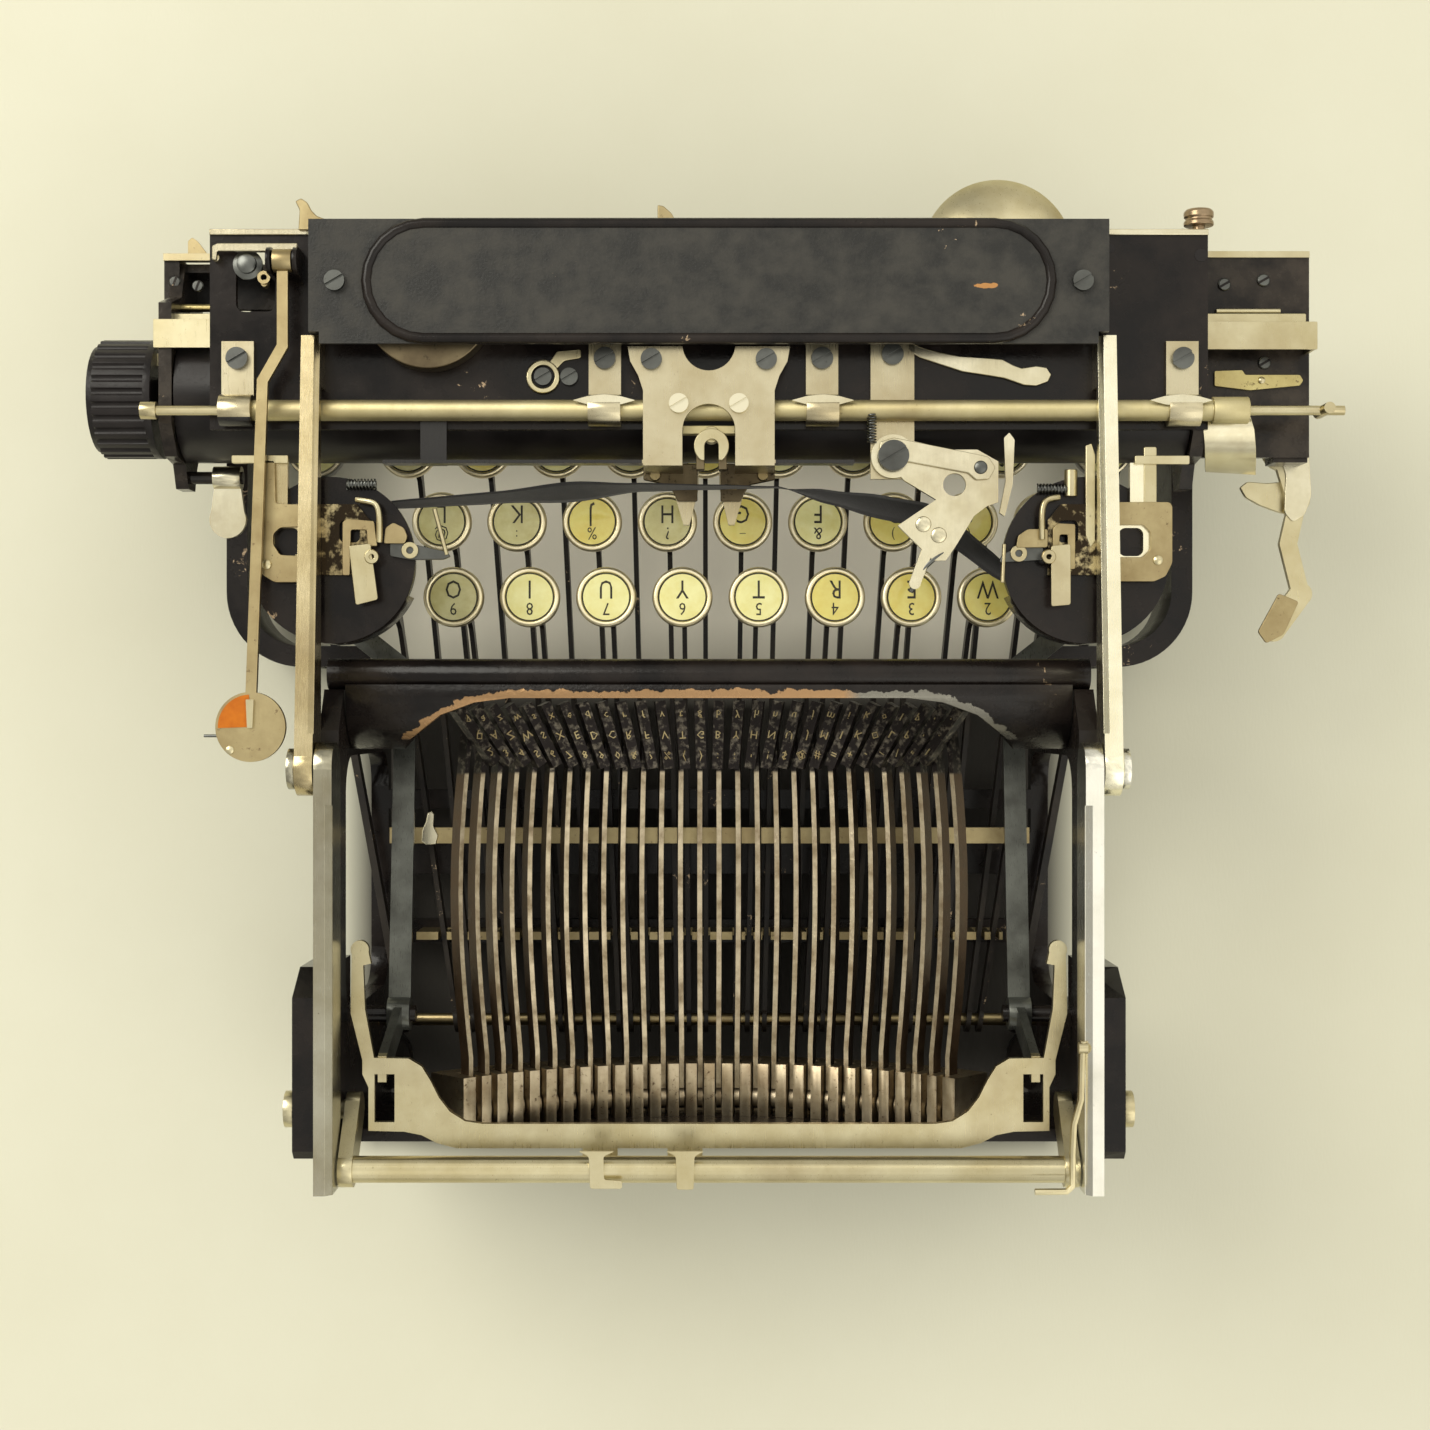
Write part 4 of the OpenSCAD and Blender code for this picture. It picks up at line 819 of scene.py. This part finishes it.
def ribbonPiece():
    r = ribbon
    fine = 6
    count = (len(r["path"]) - 1) * fine
    bm = bmesh.new()
    across = 6
    uvLayer = bm.loops.layers.uv.new("weave")
    rows = []
    for i in range(count + 1):
        low = min(i // fine, len(r["path"]) - 2)
        f = i / fine - low
        ease = f * f * (3 - 2 * f)
        a, b = Vector(r["path"][low]), Vector(r["path"][low + 1])
        spot = a.lerp(b, f)
        along = (b - a).normalized()
        lean = math.radians(r["lean"][low] * (1 - ease) + r["lean"][low + 1] * ease)
        wide = Vector((-along.y * math.sin(lean), along.x * math.sin(lean), math.cos(lean)))
        rows.append([bm.verts.new(Vector((spot.x, spot.y, r["z"])) + wide * r["width"] * (j / across - 0.5))
                     for j in range(across + 1)])
    edges = [[bm.edges.new((row[j], row[j + 1])) for j in range(across)] for row in rows]
    for before, after in zip(edges, edges[1:]):
        bmesh.ops.bridge_loops(bm, edges=before + after)
    where = {v: (i / count, j / across) for i, row in enumerate(rows) for j, v in enumerate(row)}
    for face in bm.faces:
        for loop in face.loops:
            loop[uvLayer].uv = where[loop.vert]
    piece = finishPiece("ribbonStrip", bm, "frame", ["ribbon"], 0, 60.0)
    thick = piece.modifiers.new("cloth", "SOLIDIFY")
    thick.thickness = r["thickness"] * mm
    thick.offset = 0.0
    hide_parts("ribbon")


ribbonPiece()
print("ribbon made")


# small nickel work of the folding frame

wavyLever = {"low": 84.6, "high": 85.9, "outline": [
    (-45.5, -78.1), (-48.3, -76.7), (-52.5, -75.5), (-57.4, -74.6), (-62.5, -74.3), (-67.2, -73.9), (-69.6, -72.6),
    (-71.6, -71.9), (-74.9, -72.4), (-77.4, -72.0), (-78.4, -70.4), (-77.6, -68.8), (-74.9, -67.8), (-72.1, -68.0),
    (-69.6, -68.9), (-67.6, -69.6), (-64.0, -70.2), (-58.1, -71.1), (-52.5, -72.9), (-48.3, -74.3), (-45.5, -76.0)]}
finishPiece("wavyLever", joined((plate(wavyLever["outline"], wavyLever["low"], wavyLever["high"]), 0)), "frame",
            ["brightNickel"], 0.2)

ringLever = {"centre": (38.0, -70.0), "low": 84.6, "high": 85.5}
x, y = ringLever["centre"]
finishPiece("ringLever", joined(
    (turned([(2.5, 84.6), (3.9, 84.6), (4.0, 85.1), (3.7, 85.6), (2.7, 85.6), (2.5, 85.1), (2.5, 84.6)], (x, y, 0)), 0),
    (plate([(36.6, -73.2), (34.9, -75.7), (29.3, -76.2), (29.3, -74.3), (33.2, -73.6), (35.2, -71.4)], 84.6, 85.4, 0.5), 0)),
    "frame", ["agedNickel"], 0.15)

strapWings = {"x": (23.8, -25.9, -107.2), "y": -63.9, "half": 7.3, "low": 89.7, "high": 90.5}
parts = []
for x in strapWings["x"]:
    h, y = strapWings["half"], strapWings["y"]
    parts.append((plate([(x - h, y), (x - h * 0.5, y - 1.0), (x, y - 1.4), (x + h * 0.5, y - 1.0), (x + h, y),
                         (x + h * 0.5, y + 1.0), (x, y + 1.3), (x - h * 0.5, y + 1.0)],
                        strapWings["low"], strapWings["high"], 0.4), 0))
finishPiece("strapWings", joined(*parts), "frame", ["brightNickel"], 0.2)

frontTrim = {"low": 82.4, "high": 85.3, "right": (92.0, 114.5), "left": (-114.5, -91.0)}
parts = []
for x0, x1 in (frontTrim["right"], frontTrim["left"]):
    parts.append((plate([(x0, -103.9), (x1, -103.9), (x1, -102.5), (x0, -102.5)], frontTrim["low"], frontTrim["high"]), 0))
# hinge bar of the color lever
parts.append((plate([(93.8, -100.0), (112.0, -100.0), (113.2, -99.4), (113.2, -96.2), (112.2, -96.2), (112.0, -98.2),
                     (93.8, -98.2)], 86.6, 88.2, 0.3), 0))
parts.append((rod((112.6, -97.0, 84.4), (112.6, -97.0, 87.0), 0.9), 0))
parts.append((rod((95.4, -99.0, 84.4), (95.4, -99.0, 87.0), 0.8), 0))
finishPiece("frontTrim", joined(*parts), "frame", ["brightNickel"], 0.2)

thumbScrew = {"x": -112.6, "z": 83.4, "radius": 3.4}
r = thumbScrew["radius"]
head = turned([(0, 0), (1.4, 0), (1.4, 1.2), (r, 1.3), (r, 2.2), (r * 0.9, 2.5), (r * 0.9, 3.0), (r, 3.2), (r, 4.4),
               (r * 0.85, 5.0), (0, 5.2)], (0, 0, 0), "Z", 32)
bmesh.ops.transform(head, matrix=Matrix.Translation((thumbScrew["x"], -103.6, thumbScrew["z"]))
                    @ Matrix.Rotation(math.pi / 2, 4, "X"), verts=head.verts)
finishPiece("thumbScrew", joined((head, 0)), "frame", ["copperRing"], 0.15)

frontTips = {"corner": [(94.6, -110.0), (93.3, -110.7), (91.9, -109.8), (91.0, -108.0), (89.6, -106.6), (87.6, -105.9),
                        (87.6, -103.4), (93.9, -103.4), (93.6, -108.0)],
             "middle": [(11.8, -109.7), (10.4, -109.4), (8.6, -107.8), (7.6, -106.0), (7.6, -102.0), (11.8, -102.0)]}
finishPiece("frontTips", joined((plate(frontTips["corner"], 84.6, 86.2, 0.3), 0),
                                (plate(frontTips["middle"], 82.6, 84.0, 0.3), 0)), "frame", ["dullNickel"], 0.2)

# horseshoe collar: the struck typebar passes through its open side
centreKnob = {"x": -0.6, "y": -53.6, "radius": 4.0, "slot": 1.6, "gape": 37.0, "low": 88.0, "high": 89.8, "stem": -56.4}
x, y, r, slot = (centreKnob[k] for k in ("x", "y", "radius", "slot"))
outer, inner = [], []
for step in range(25):
    a = math.radians(90 + centreKnob["gape"] + (360 - 2 * centreKnob["gape"]) * step / 24)
    outer.append((x + r * math.cos(a), y + r * math.sin(a)))
    if math.sin(a) > 0:
        inner.append((x + math.copysign(slot, math.cos(a)), y + r * math.sin(a)))
    else:
        inner.append((x + slot * math.cos(a), y + slot * math.sin(a)))
parts = [(band(outer, inner, centreKnob["low"], centreKnob["high"]), 0),
         (rod((x, centreKnob["stem"], 84.4), (x, centreKnob["stem"], 88.2), 1.9), 0),
         (plate([(-6.0, -58.5), (6.0, -58.5), (6.0, -56.6), (-6.0, -56.6)], 84.4, 87.6), 1)]
for side in (-1, 1):
    parts.append((plate([(x + side * slot, y + 2.0), (x + side * (slot + 1.9), y + 2.0), (x + side * (slot + 1.9), y + 5.2),
                         (x + side * slot, y + 5.2)], 84.0, 88.6, 0.2), 2))
finishPiece("centreKnob", joined(*parts), "frame", ["agedNickel", "tubeNickel", "dirtyBronze"], 0.15)

guideYoke = {"half": [(2.7, -51.4), (15.4, -51.4), (15.4, -47.6), (9.6, -46.4), (8.2, -44.4), (7.4, -42.6), (2.7, -42.6)],
             "slot": [(3.6, -46.6), (6.4, -46.6), (7.4, -45.9), (6.4, -45.3), (3.6, -45.3)]}
parts = []
for side in (-1, 1):
    parts.append((plate([(side * x, y) for x, y in guideYoke["half"]], 72.0, 73.4, 0.4), 0))
    parts.append((plate([(side * x, y) for x, y in guideYoke["slot"]], 73.4, 73.9), 1))
    parts.append((rod((side * 12.6, -48.6, 73.2), (side * 12.6, -48.6, 74.2), 1.3), 1))
finishPiece("guideYoke", joined(*parts), "frame", ["dirtyBronze", "dullNickel"], 0.2)

# rolled groove round the raised oval of the cover
ovalBead = {"half": 64.0, "radius": 12.9, "y": -90.0, "z": 95.5, "gauge": 1.25}
path = []
for side in (1, -1):
    for step in range(13):
        a = math.radians(-90 + 15 * step)
        path.append((side * (ovalBead["half"] + ovalBead["radius"] * math.cos(a)),
                     ovalBead["y"] + side * ovalBead["radius"] * math.sin(a), ovalBead["z"]))
finishPiece("ovalBead", joined((wire(path, ovalBead["gauge"], 3, smooth=False, closed=True), 0)), "frame",
            ["blackEnamel"], 0, 60.0)

plateMarks = {"holes": ((-112.9, -98.0, 84.5, 1.5), (-92.0, -99.6, 84.5, 1.1)), "pivot": (105.6, -95.6)}
parts = [(turned([(0, 0), (r, 0), (r, 0.12), (r * 0.7, 0.16), (0, 0.1)], (x, y, z)), 0) for x, y, z, r in plateMarks["holes"]]
x, y = plateMarks["pivot"]
parts.append((turned([(0, 84.5), (3.4, 84.5), (3.4, 85.6), (2.2, 86.0), (2.2, 87.2), (1.4, 87.6), (0, 87.6)], (x, y, 0)), 1))
parts.append((turned([(0.7, 0), (1.5, 0), (1.5, 0.8), (0.7, 0.8), (0.7, 0)], (101.6, -92.4, 86.4)), 2))
parts.append((rod((101.6, -91.2, 84.4), (101.6, -91.2, 86.6), 0.8), 2))
finishPiece("plateMarks", joined(*parts), "frame", ["platenRubber", "screwSteel", "dullNickel"], 0.03)
print("frame fittings made")


# ribbon spool brackets

bracketLevels = {"plate": (89.5, 90.6), "upper": (92.0, 92.9)}
rightBracket = {
    "plate": [(101.5, -50.2), (98.4, -50.2), (98.2, -40.5), (92.9, -40.2), (92.9, -35.2), (97.2, -35.0), (98.7, -33.6),
              (98.8, -31.2), (97.2, -28.8), (92.9, -28.6), (92.9, -22.6), (98.5, -22.6), (101.2, -24.3), (102.2, -27.5)],
    "rivet": (100.2, -26.6),
    "bar": [(95.4, -51.4), (108.2, -51.4), (108.2, -49.6), (95.4, -49.6)],
    "yoke": [(83.1, -36.2), (82.2, -37.0), (75.9, -36.5), (75.2, -30.8), (77.4, -30.8), (77.6, -34.5), (81.2, -34.5),
             (81.4, -24.2), (83.1, -24.2)],
    "flag": [(81.3, -30.7), (76.4, -31.2), (74.7, -18.6), (79.7, -17.3)],
    "fork": [(80.0, -41.4, 90.0), (77.4, -41.0, 91.2), (74.9, -40.3, 91.6), (74.4, -36.0, 91.6), (74.7, -31.6, 91.0)],
    "half": [(73.8, -31.4), (73.4, -35.0), (71.6, -36.2), (69.2, -35.0), (68.4, -33.0), (69.0, -31.4)],
    "guide": [(72.5, -32.2), (67.9, -31.5), (59.6, -29.6), (58.8, -28.6), (60.4, -27.9), (67.9, -27.8), (72.5, -28.6)],
    "pin": ((62.4, -39.4, 89.0), (59.6, -28.9, 89.0)),
    "spring": ((75.6, -45.0, 88.8), (82.4, -45.0, 88.8)),
}
leftBracket = {
    "plate": [(-92.9, -40.8), (-104.4, -40.8), (-105.1, -40.0), (-105.1, -27.0), (-103.6, -24.0), (-101.0, -22.8),
              (-92.9, -22.8), (-92.9, -28.3), (-98.3, -28.3), (-100.1, -30.0), (-100.1, -34.0), (-98.5, -35.6),
              (-92.9, -35.6)],
    "rivet": (-101.8, -27.6),
    "bar": [(-96.6, -51.3), (-109.0, -51.3), (-109.0, -49.4), (-96.6, -49.4)],
    "yoke": [(-78.0, -34.8), (-79.1, -36.0), (-83.1, -35.8), (-83.1, -25.6), (-81.4, -25.6), (-81.4, -33.4), (-79.6, -33.4),
             (-79.4, -30.5), (-78.0, -30.5)],
    "flag": [(-77.3, -30.7), (-81.7, -31.1), (-81.7, -17.4), (-77.3, -17.0)],
    "fork": [(-79.5, -41.9, 90.0), (-76.9, -41.7, 91.2), (-75.5, -40.0, 91.6), (-75.3, -36.0, 91.6), (-75.5, -32.3, 91.0)],
    "half": [(-69.7, -30.5), (-70.2, -33.2), (-72.4, -34.7), (-76.9, -34.7), (-76.9, -30.5)],
    "guide": [(-76.0, -31.2), (-70.4, -30.8), (-66.8, -29.0), (-66.0, -27.2), (-70.4, -27.4), (-76.0, -27.8)],
    "pin": ((-67.2, -31.4, 89.0), (-66.8, -22.6, 89.0)),
    "spring": ((-74.7, -43.9, 88.8), (-81.4, -43.9, 88.8)),
}


def spoolBracket(name, b):
    low, high = bracketLevels["plate"]
    upLow, upHigh = bracketLevels["upper"]
    flagX = sum(p[0] for p in b["flag"][:2]) / 2
    flagY = b["flag"][0][1] + 1.6
    parts = [
        (plate(b["plate"], low, high, 0.5), 0),
        (rivet(*b["rivet"], high, 1.15), 1),
        (plate(b["bar"], low - 0.4, high, 0.3), 1),
        (plate(b["yoke"], low, high - 0.1, 0.4), 0),
        (plate(b["flag"], upLow, upHigh, 0.5), 1),
        (rod((flagX, flagY, low - 0.2), (flagX, flagY, upLow + 0.1), 1.0), 2),
        (wire(b["fork"], 0.75), 1),
        (plate(b["half"], low - 0.2, high - 0.3, 0.5), 0),
        (plate(b["guide"], low - 2.2, low - 0.2, 0.4), 2),
        (rod(*b["pin"], 0.5, 12), 1),
        (rod(*b["spring"], 0.8, 12), 2),
        (coil(*b["spring"], 1.15, 9, 0.22), 2),
        (turned([(0.8, 0), (1.9, 0), (1.9, 0.7), (0.8, 0.7), (0.8, 0)], (b["guide"][1][0], b["guide"][1][1] + 1.6, low - 0.2)), 1),
        (turned([(0.6, 0), (1.7, 0), (1.5, 0.6), (0.6, 0.6), (0.6, 0)], (flagX * 0.965, flagY + 0.9, upHigh)), 1),
    ]
    finishPiece(name, joined(*parts), "frame", ["dullNickel", "agedNickel", "screwSteel"], 0.15)


spoolBracket("rightSpoolBracket", rightBracket)
spoolBracket("leftSpoolBracket", leftBracket)

leftBlade = {"outline": [(-85.6, -53.7), (-86.9, -54.2), (-87.8, -51.6), (-87.8, -32.0), (-86.7, -30.5), (-85.6, -33.4)],
             "low": 88.0, "high": 89.6}
finishPiece("leftBlade", joined(
    (plate(leftBlade["outline"], leftBlade["low"], leftBlade["high"]), 0),
    (plate([(-98.8, -53.4), (-101.7, -53.4), (-101.7, -39.8), (-98.8, -39.8)], 88.6, 89.7, 0.4), 0),
    (rod((-82.4, -48.3, 88.6), (-82.4, -42.2, 88.6), 1.5), 0)), "frame", ["agedNickel"], 0.15)

vibratorWork = {"link": [(-39.0, -54.6), (-42.0, -55.6), (-60.5, -51.9), (-63.6, -51.2), (-65.2, -48.8), (-63.8, -46.2),
                         (-60.8, -46.0), (-59.0, -47.6), (-45.0, -50.2), (-41.5, -48.8), (-38.6, -50.8)],
                "rivets": ((-48.9, -36.0), (-52.4, -33.5))}
parts = [(plate(vibratorWork["link"], 88.3, 89.2, 0.4), 0), (rivet(-61.8, -48.8, 89.2, 1.6), 1),
         (rod((-61.8, -48.8, 87.6), (-61.8, -48.8, 88.6), 1.4), 1)]
parts += [(rivet(x, y, 87.8, 1.9, 0.6), 0) for x, y in vibratorWork["rivets"]]
parts.append((wire([(-53.6, -29.6, 87.2), (-50.2, -27.6, 87.4), (-47.6, -23.6, 87.0), (-46.1, -20.6, 86.2)], 0.65), 1))
finishPiece("vibratorLink", joined(*parts), "vibrator", ["brightNickel", "screwSteel"], 0.15)

hairSpring = {"start": (-37.1, -61.0, 88.6), "end": (-37.1, -54.6, 88.2)}
finishPiece("hairSpring", joined((coil(hairSpring["start"], hairSpring["end"], 1.0, 10, 0.2), 0),
                                 (rivet(-37.1, -62.2, 85.9, 1.1, 3.2), 1),
                                 (plate([(-66.0, -38.4), (-67.2, -37.6), (-69.0, -44.9), (-69.4, -55.0), (-68.2, -56.6),
                                         (-67.0, -55.4), (-67.4, -45.6)], 88.4, 90.0, 0.2), 1)), "frame",
            ["screwSteel", "brightNickel"], 0)
print("spool brackets made")


# colour selector disc

selector = {"x": 103.3, "y": 10.2, "z": 93.8, "radius": 7.3}
x, y, z, r = (selector[k] for k in ("x", "y", "z", "radius"))
wedge = plate([(x, y)] + [(x + r * math.cos(math.radians(a)), y + r * math.sin(math.radians(a)))
                          for a in range(-88, 3, 6)], z + 0.01, z + 0.16)
finishPiece("selectorDisc", joined((wedge, 0), (rivet(x + 4.6, y + 5.2, z, 1.0, 0.5), 1),
                                   (rod((x + 7.4, y + 2.0, z - 0.8), (x + 10.6, y + 2.0, z - 0.8), 0.35, 10), 2),
                                   (plate([(x - 0.9, y - 6.2), (x + 0.9, y - 6.2), (x + 0.6, y + 0.2), (x - 0.6, y + 0.2)],
                                          z, z + 0.7, 0.2), 1)), "color", ["orange", "agedNickel", "screwSteel"], 0)


# carriage ends

leftHousing = {"holes": ((-121.0, -93.6), (-130.2, -94.6), (-130.4, -75.2)), "top": 72.0}
parts = []
for x, y in leftHousing["holes"]:
    head, bar = slotScrew((x, y, leftHousing["top"]), 1.5, 0.7)
    parts += [(head, 0), (bar, 1)]
parts.append((plate([(-118.6, -73.2), (-125.1, -73.4), (-125.8, -72.3), (-138.6, -72.3), (-139.4, -71.0), (-138.6, -69.8),
                     (-126.9, -68.7), (-118.6, -69.7)], 72.0, 72.9, 0.3), 2))
parts.append((rivet(-129.6, -71.0, 72.9, 0.9), 3))
parts.append((rod((-119.0, -87.2, 72.6), (-134.0, -87.2, 72.6), 0.7), 3))
parts.append((plate([(-114.6, -101.4), (-141.0, -101.4), (-141.0, -99.9), (-114.6, -99.9)], 70.6, 72.6), 3))
parts.append((plate([(-113.2, -83.4), (-140.6, -83.4), (-140.6, -77.0), (-113.2, -77.0)], 80.05, 80.9, 0.3), 3))
parts.append((plate([(-139.8, -83.2), (-140.6, -83.2), (-140.6, -77.2), (-139.8, -77.2)], 72.0, 80.2), 3))
finishPiece("leftHousing", joined(*parts), "carriage", ["screwSteel", "blackEnamel", "wornBrass", "agedNickel"], 0.04)

rightEnd = {"tongue": [(136.7, -76.3), (135.0, -77.6), (117.5, -77.4), (117.5, -74.9), (134.0, -74.5)]}
parts = [(plate(rightEnd["tongue"], 70.4, 71.6, 0.4), 0),
         (plate([(113.4, -84.0), (128.4, -84.0), (128.4, -77.4), (113.4, -77.4)], 80.05, 80.9, 0.3), 0),
         (plate([(127.6, -83.8), (128.4, -83.8), (128.4, -77.6), (127.6, -77.6)], 71.4, 80.2), 0),
         (rod((114.8, -88.6, 69.2), (127.2, -88.6, 69.2), 0.95), 1),
         (plate([(114.0, -101.6), (129.0, -101.6), (129.0, -99.9), (114.0, -99.9)], 66.4, 69.0), 0),
         (plate([(123.2, -104.6), (122.2, -105.4), (121.0, -104.6), (119.6, -102.8), (118.3, -101.0), (123.2, -101.0)],
                67.4, 68.8, 0.3), 2)]
for x, y in ((121.0, -94.0), (126.4, -95.0)):
    head, bar = slotScrew((x, y, 68.0), 1.4, 0.7, turn=70)
    parts += [(head, 3), (bar, 4)]
finishPiece("rightEnd", joined(*parts), "carriage", ["agedNickel", "wornBrass", "dullNickel", "screwSteel", "blackEnamel"],
            0.04)

# bent nickel guard behind the line space lever
guard = {"profile": [(-62.5, 78.2), (-59.5, 78.6), (-56.0, 76.6), (-53.2, 73.2), (-51.6, 69.2), (-51.0, 65.8)],
         "near": -113.5, "far": -125.5, "slant": 3.4}
bm = bmesh.new()
verts = [bm.verts.new((guard["near"] - i * 0.9, y, z)) for i, (y, z) in enumerate(guard["profile"])]
edges = [bm.edges.new(pair) for pair in zip(verts, verts[1:])]
grown = bmesh.ops.extrude_edge_only(bm, edges=edges)
bmesh.ops.translate(bm, vec=(guard["far"] - guard["near"], guard["slant"] * 0.2, 0),
                    verts=[g for g in grown["geom"] if isinstance(g, bmesh.types.BMVert)])
bmesh.ops.solidify(bm, geom=bm.faces[:], thickness=0.8)
finishPiece("rollerGuard", joined((bm, 0)), "carriage", ["brightNickel"], 0.1, 50.0)

lineSpace = {"cover": [(-135.0, -58.6), (-137.2, -60.6), (-140.6, -59.8), (-143.6, -55.0), (-144.2, -45.0), (-142.6, -40.4),
                       (-139.6, -38.6), (-137.6, -41.0), (-138.0, -50.0)],
             "crescent": [(-127.6, -47.2), (-129.4, -48.6), (-134.0, -48.2), (-138.4, -48.6), (-139.4, -40.6), (-136.4, -41.4),
                          (-132.2, -43.0), (-129.0, -44.8)],
             "grip": [(-136.2, -21.6), (-141.0, -19.6), (-137.4, -11.8), (-133.2, -9.6), (-131.2, -12.4)]}
finishPiece("lineSpaceGrip", joined((plate(lineSpace["cover"], 62.0, 62.35, 0.8), 0),
                                    (plate(lineSpace["crescent"], 58.4, 59.9, 0.5), 1),
                                    (plate(lineSpace["grip"], 62.0, 62.8, 0.6), 2)), "line_space",
            ["brightNickel", "agedNickel", "dullNickel"], 0.15)


# wire and hook in the type basket

latchWire = {"path": [(-83.2, 80.0, 100.6), (-83.0, 84.0, 100.6), (-82.8, 93.0, 100.6), (-81.2, 98.6, 100.6),
                      (-80.9, 105.0, 100.6), (-80.9, 112.2, 100.6), (-79.6, 113.4, 100.6), (-72.5, 113.5, 100.6)]}
finishPiece("latchWire", joined((wire(latchWire["path"], 0.75, smooth=False), 0),
                                (rod((-84.2, 81.5, 100.6), (-82.2, 81.5, 100.6), 1.3), 0)), "base", ["agedNickel"], 0)
bailClips = {"left": [(29.2, 105.2), (26.9, 106.4), (26.6, 113.6), (19.4, 113.6), (19.4, 111.8), (23.4, 111.6), (23.6, 106.4),
                       (21.0, 105.2)],
             "right": [(9.6, 105.2), (7.4, 106.4), (7.2, 113.8), (3.4, 113.8), (3.2, 106.4), (1.0, 105.2)]}
finishPiece("bailClips", joined((plate(bailClips["left"], 95.9, 96.9, 0.5), 0), (plate(bailClips["right"], 95.9, 96.9, 0.5), 0)),
            "bail", ["agedNickel"], 0.06)
tieHook = {"outline": [(71.4, 40.4), (72.8, 39.4), (72.6, 36.7), (71.6, 34.4), (71.2, 32.2), (70.2, 31.6), (69.5, 32.6),
                       (69.7, 35.5), (68.5, 37.9), (69.1, 40.2)]}
finishPiece("tieHook", joined((plate(tieHook["outline"], 30.9, 32.6), 0)), "base", ["brightNickel"], 0.25)
print("carriage ends and basket details made")


# camera, floor and light

photoView = {"place": (-0.0014, 0.0075, 0.600), "lens": 36.0 * 2247.0 / 1430.0, "sensor": 36.0}
camera = bpy.data.objects.new("camera", bpy.data.cameras.new("camera"))
camera.data.sensor_width = photoView["sensor"]
camera.data.lens = photoView["lens"]
camera.data.clip_start = 0.01
camera.location = photoView["place"]
camera.rotation_euler = (0.0, 0.0, math.pi)
bpy.context.scene.collection.objects.link(camera)
bpy.context.scene.camera = camera

# deep is a painted shadow colour for the cloth under the type basket; the emission colour and strength paint light onto
# the cloth between the keys
table = {"size": 2.6, "pale": (0.66, 0.648, 0.525), "shade": (0.615, 0.597, 0.468), "deep": (0.05, 0.045, 0.038),
         "keys": (-100.0, 100.0, -74.0, 6.0), "basket": (-97.0, 97.0, -8.0, 126.0), "paintedLightPower": 0.37, "paintedLightColor": (0.7, 0.64, 0.5)}


def tableFinish():
    finish, tree, bsdf = newFinish("paleCloth")
    # soft patches of painted light and shade over the cloth: the pale and shade colours mixed by a broad noise
    foldLightAndShade = effect(tree, "patina", Scale=5.0, Low=0.3, High=0.7)
    threads = effect(tree, "scratch", Scale=1400.0, Stretch=0.25)
    x, y, z = axes(tree, objectSpot(tree))
    cloth = mixed(tree, foldLightAndShade, table["pale"], table["shade"])
    # painted shadow under the type basket (a dark base colour), painted light on the cloth between the keys (a glow
    # from the emission)
    paintedShadow = insideBox(tree, x, y, table["basket"], 0.008)
    paintedLight = insideBox(tree, x, y, table["keys"], 0.024)
    tree.links.new(mixed(tree, paintedShadow, cloth, table["deep"]), bsdf.inputs["Base Color"])
    bsdf.inputs["Emission Color"].default_value = (*table["paintedLightColor"], 1.0)
    tree.links.new(sums(tree, "MULTIPLY", paintedLight, table["paintedLightPower"]), bsdf.inputs["Emission Strength"])
    tree.links.new(remap(tree, threads, 0.0, 1.0, 0.85, 0.95), bsdf.inputs["Roughness"])
    addBump(tree, bsdf, threads, 0.08)
    return finish


bm = bmesh.new()
bmesh.ops.create_grid(bm, x_segments=8, y_segments=8, size=table["size"])
mesh = bpy.data.meshes.new("table")
bm.to_mesh(mesh)
bm.free()
mesh.materials.append(tableFinish())
tableTop = bpy.data.objects.new("table", mesh)
bpy.context.scene.collection.objects.link(tableTop)

lamps = {
    "window": {"place": (0.85, -0.65, 1.1), "size": 0.9, "power": 14.5, "color": (1.0, 0.975, 0.88)},
    "fill": {"place": (-0.8, 0.8, 1.0), "size": 1.2, "power": 2.2, "color": (1.0, 0.98, 0.9)},
}
for name, l in lamps.items():
    light = bpy.data.lights.new(name, "AREA")
    light.size = l["size"]
    light.energy = l["power"]
    light.color = l["color"]
    lamp = bpy.data.objects.new(name, light)
    lamp.location = l["place"]
    lamp.rotation_euler = (-Vector(l["place"])).to_track_quat("-Z", "Y").to_euler()
    bpy.context.scene.collection.objects.link(lamp)

sky = {"zenith": (0.9, 0.88, 0.8), "horizon": (0.46, 0.45, 0.4), "strength": 1.15, "sides": (1.35, 0.7), "clouds": (0.62, 1.4)}
world = bpy.data.worlds.new("studio")
world.use_nodes = True
tree = world.node_tree
across, along, up = axes(tree, addNode(tree, "ShaderNodeTexCoord").outputs["Generated"])
tree.links.new(mixed(tree, remap(tree, up, 0.0, 0.9), sky["horizon"], sky["zenith"]), tree.nodes["Background"].inputs["Color"])
# one side of the room is brighter
bright = sums(tree, "MULTIPLY", remap(tree, across, -0.3, 0.3, *sky["sides"]), sky["strength"])
room = addNode(tree, "ShaderNodeTexNoise", {"Scale": 5.0, "Detail": 1.0})
tree.links.new(addNode(tree, "ShaderNodeTexCoord").outputs["Generated"], room.inputs["Vector"])
bright = sums(tree, "MULTIPLY", bright, remap(tree, room.outputs["Fac"], 0.32, 0.68, *sky["clouds"]))
tree.links.new(bright, tree.nodes["Background"].inputs["Strength"])
bpy.context.scene.world = world
bpy.context.scene.view_settings.view_transform = "Standard"
print("camera, table and light set")
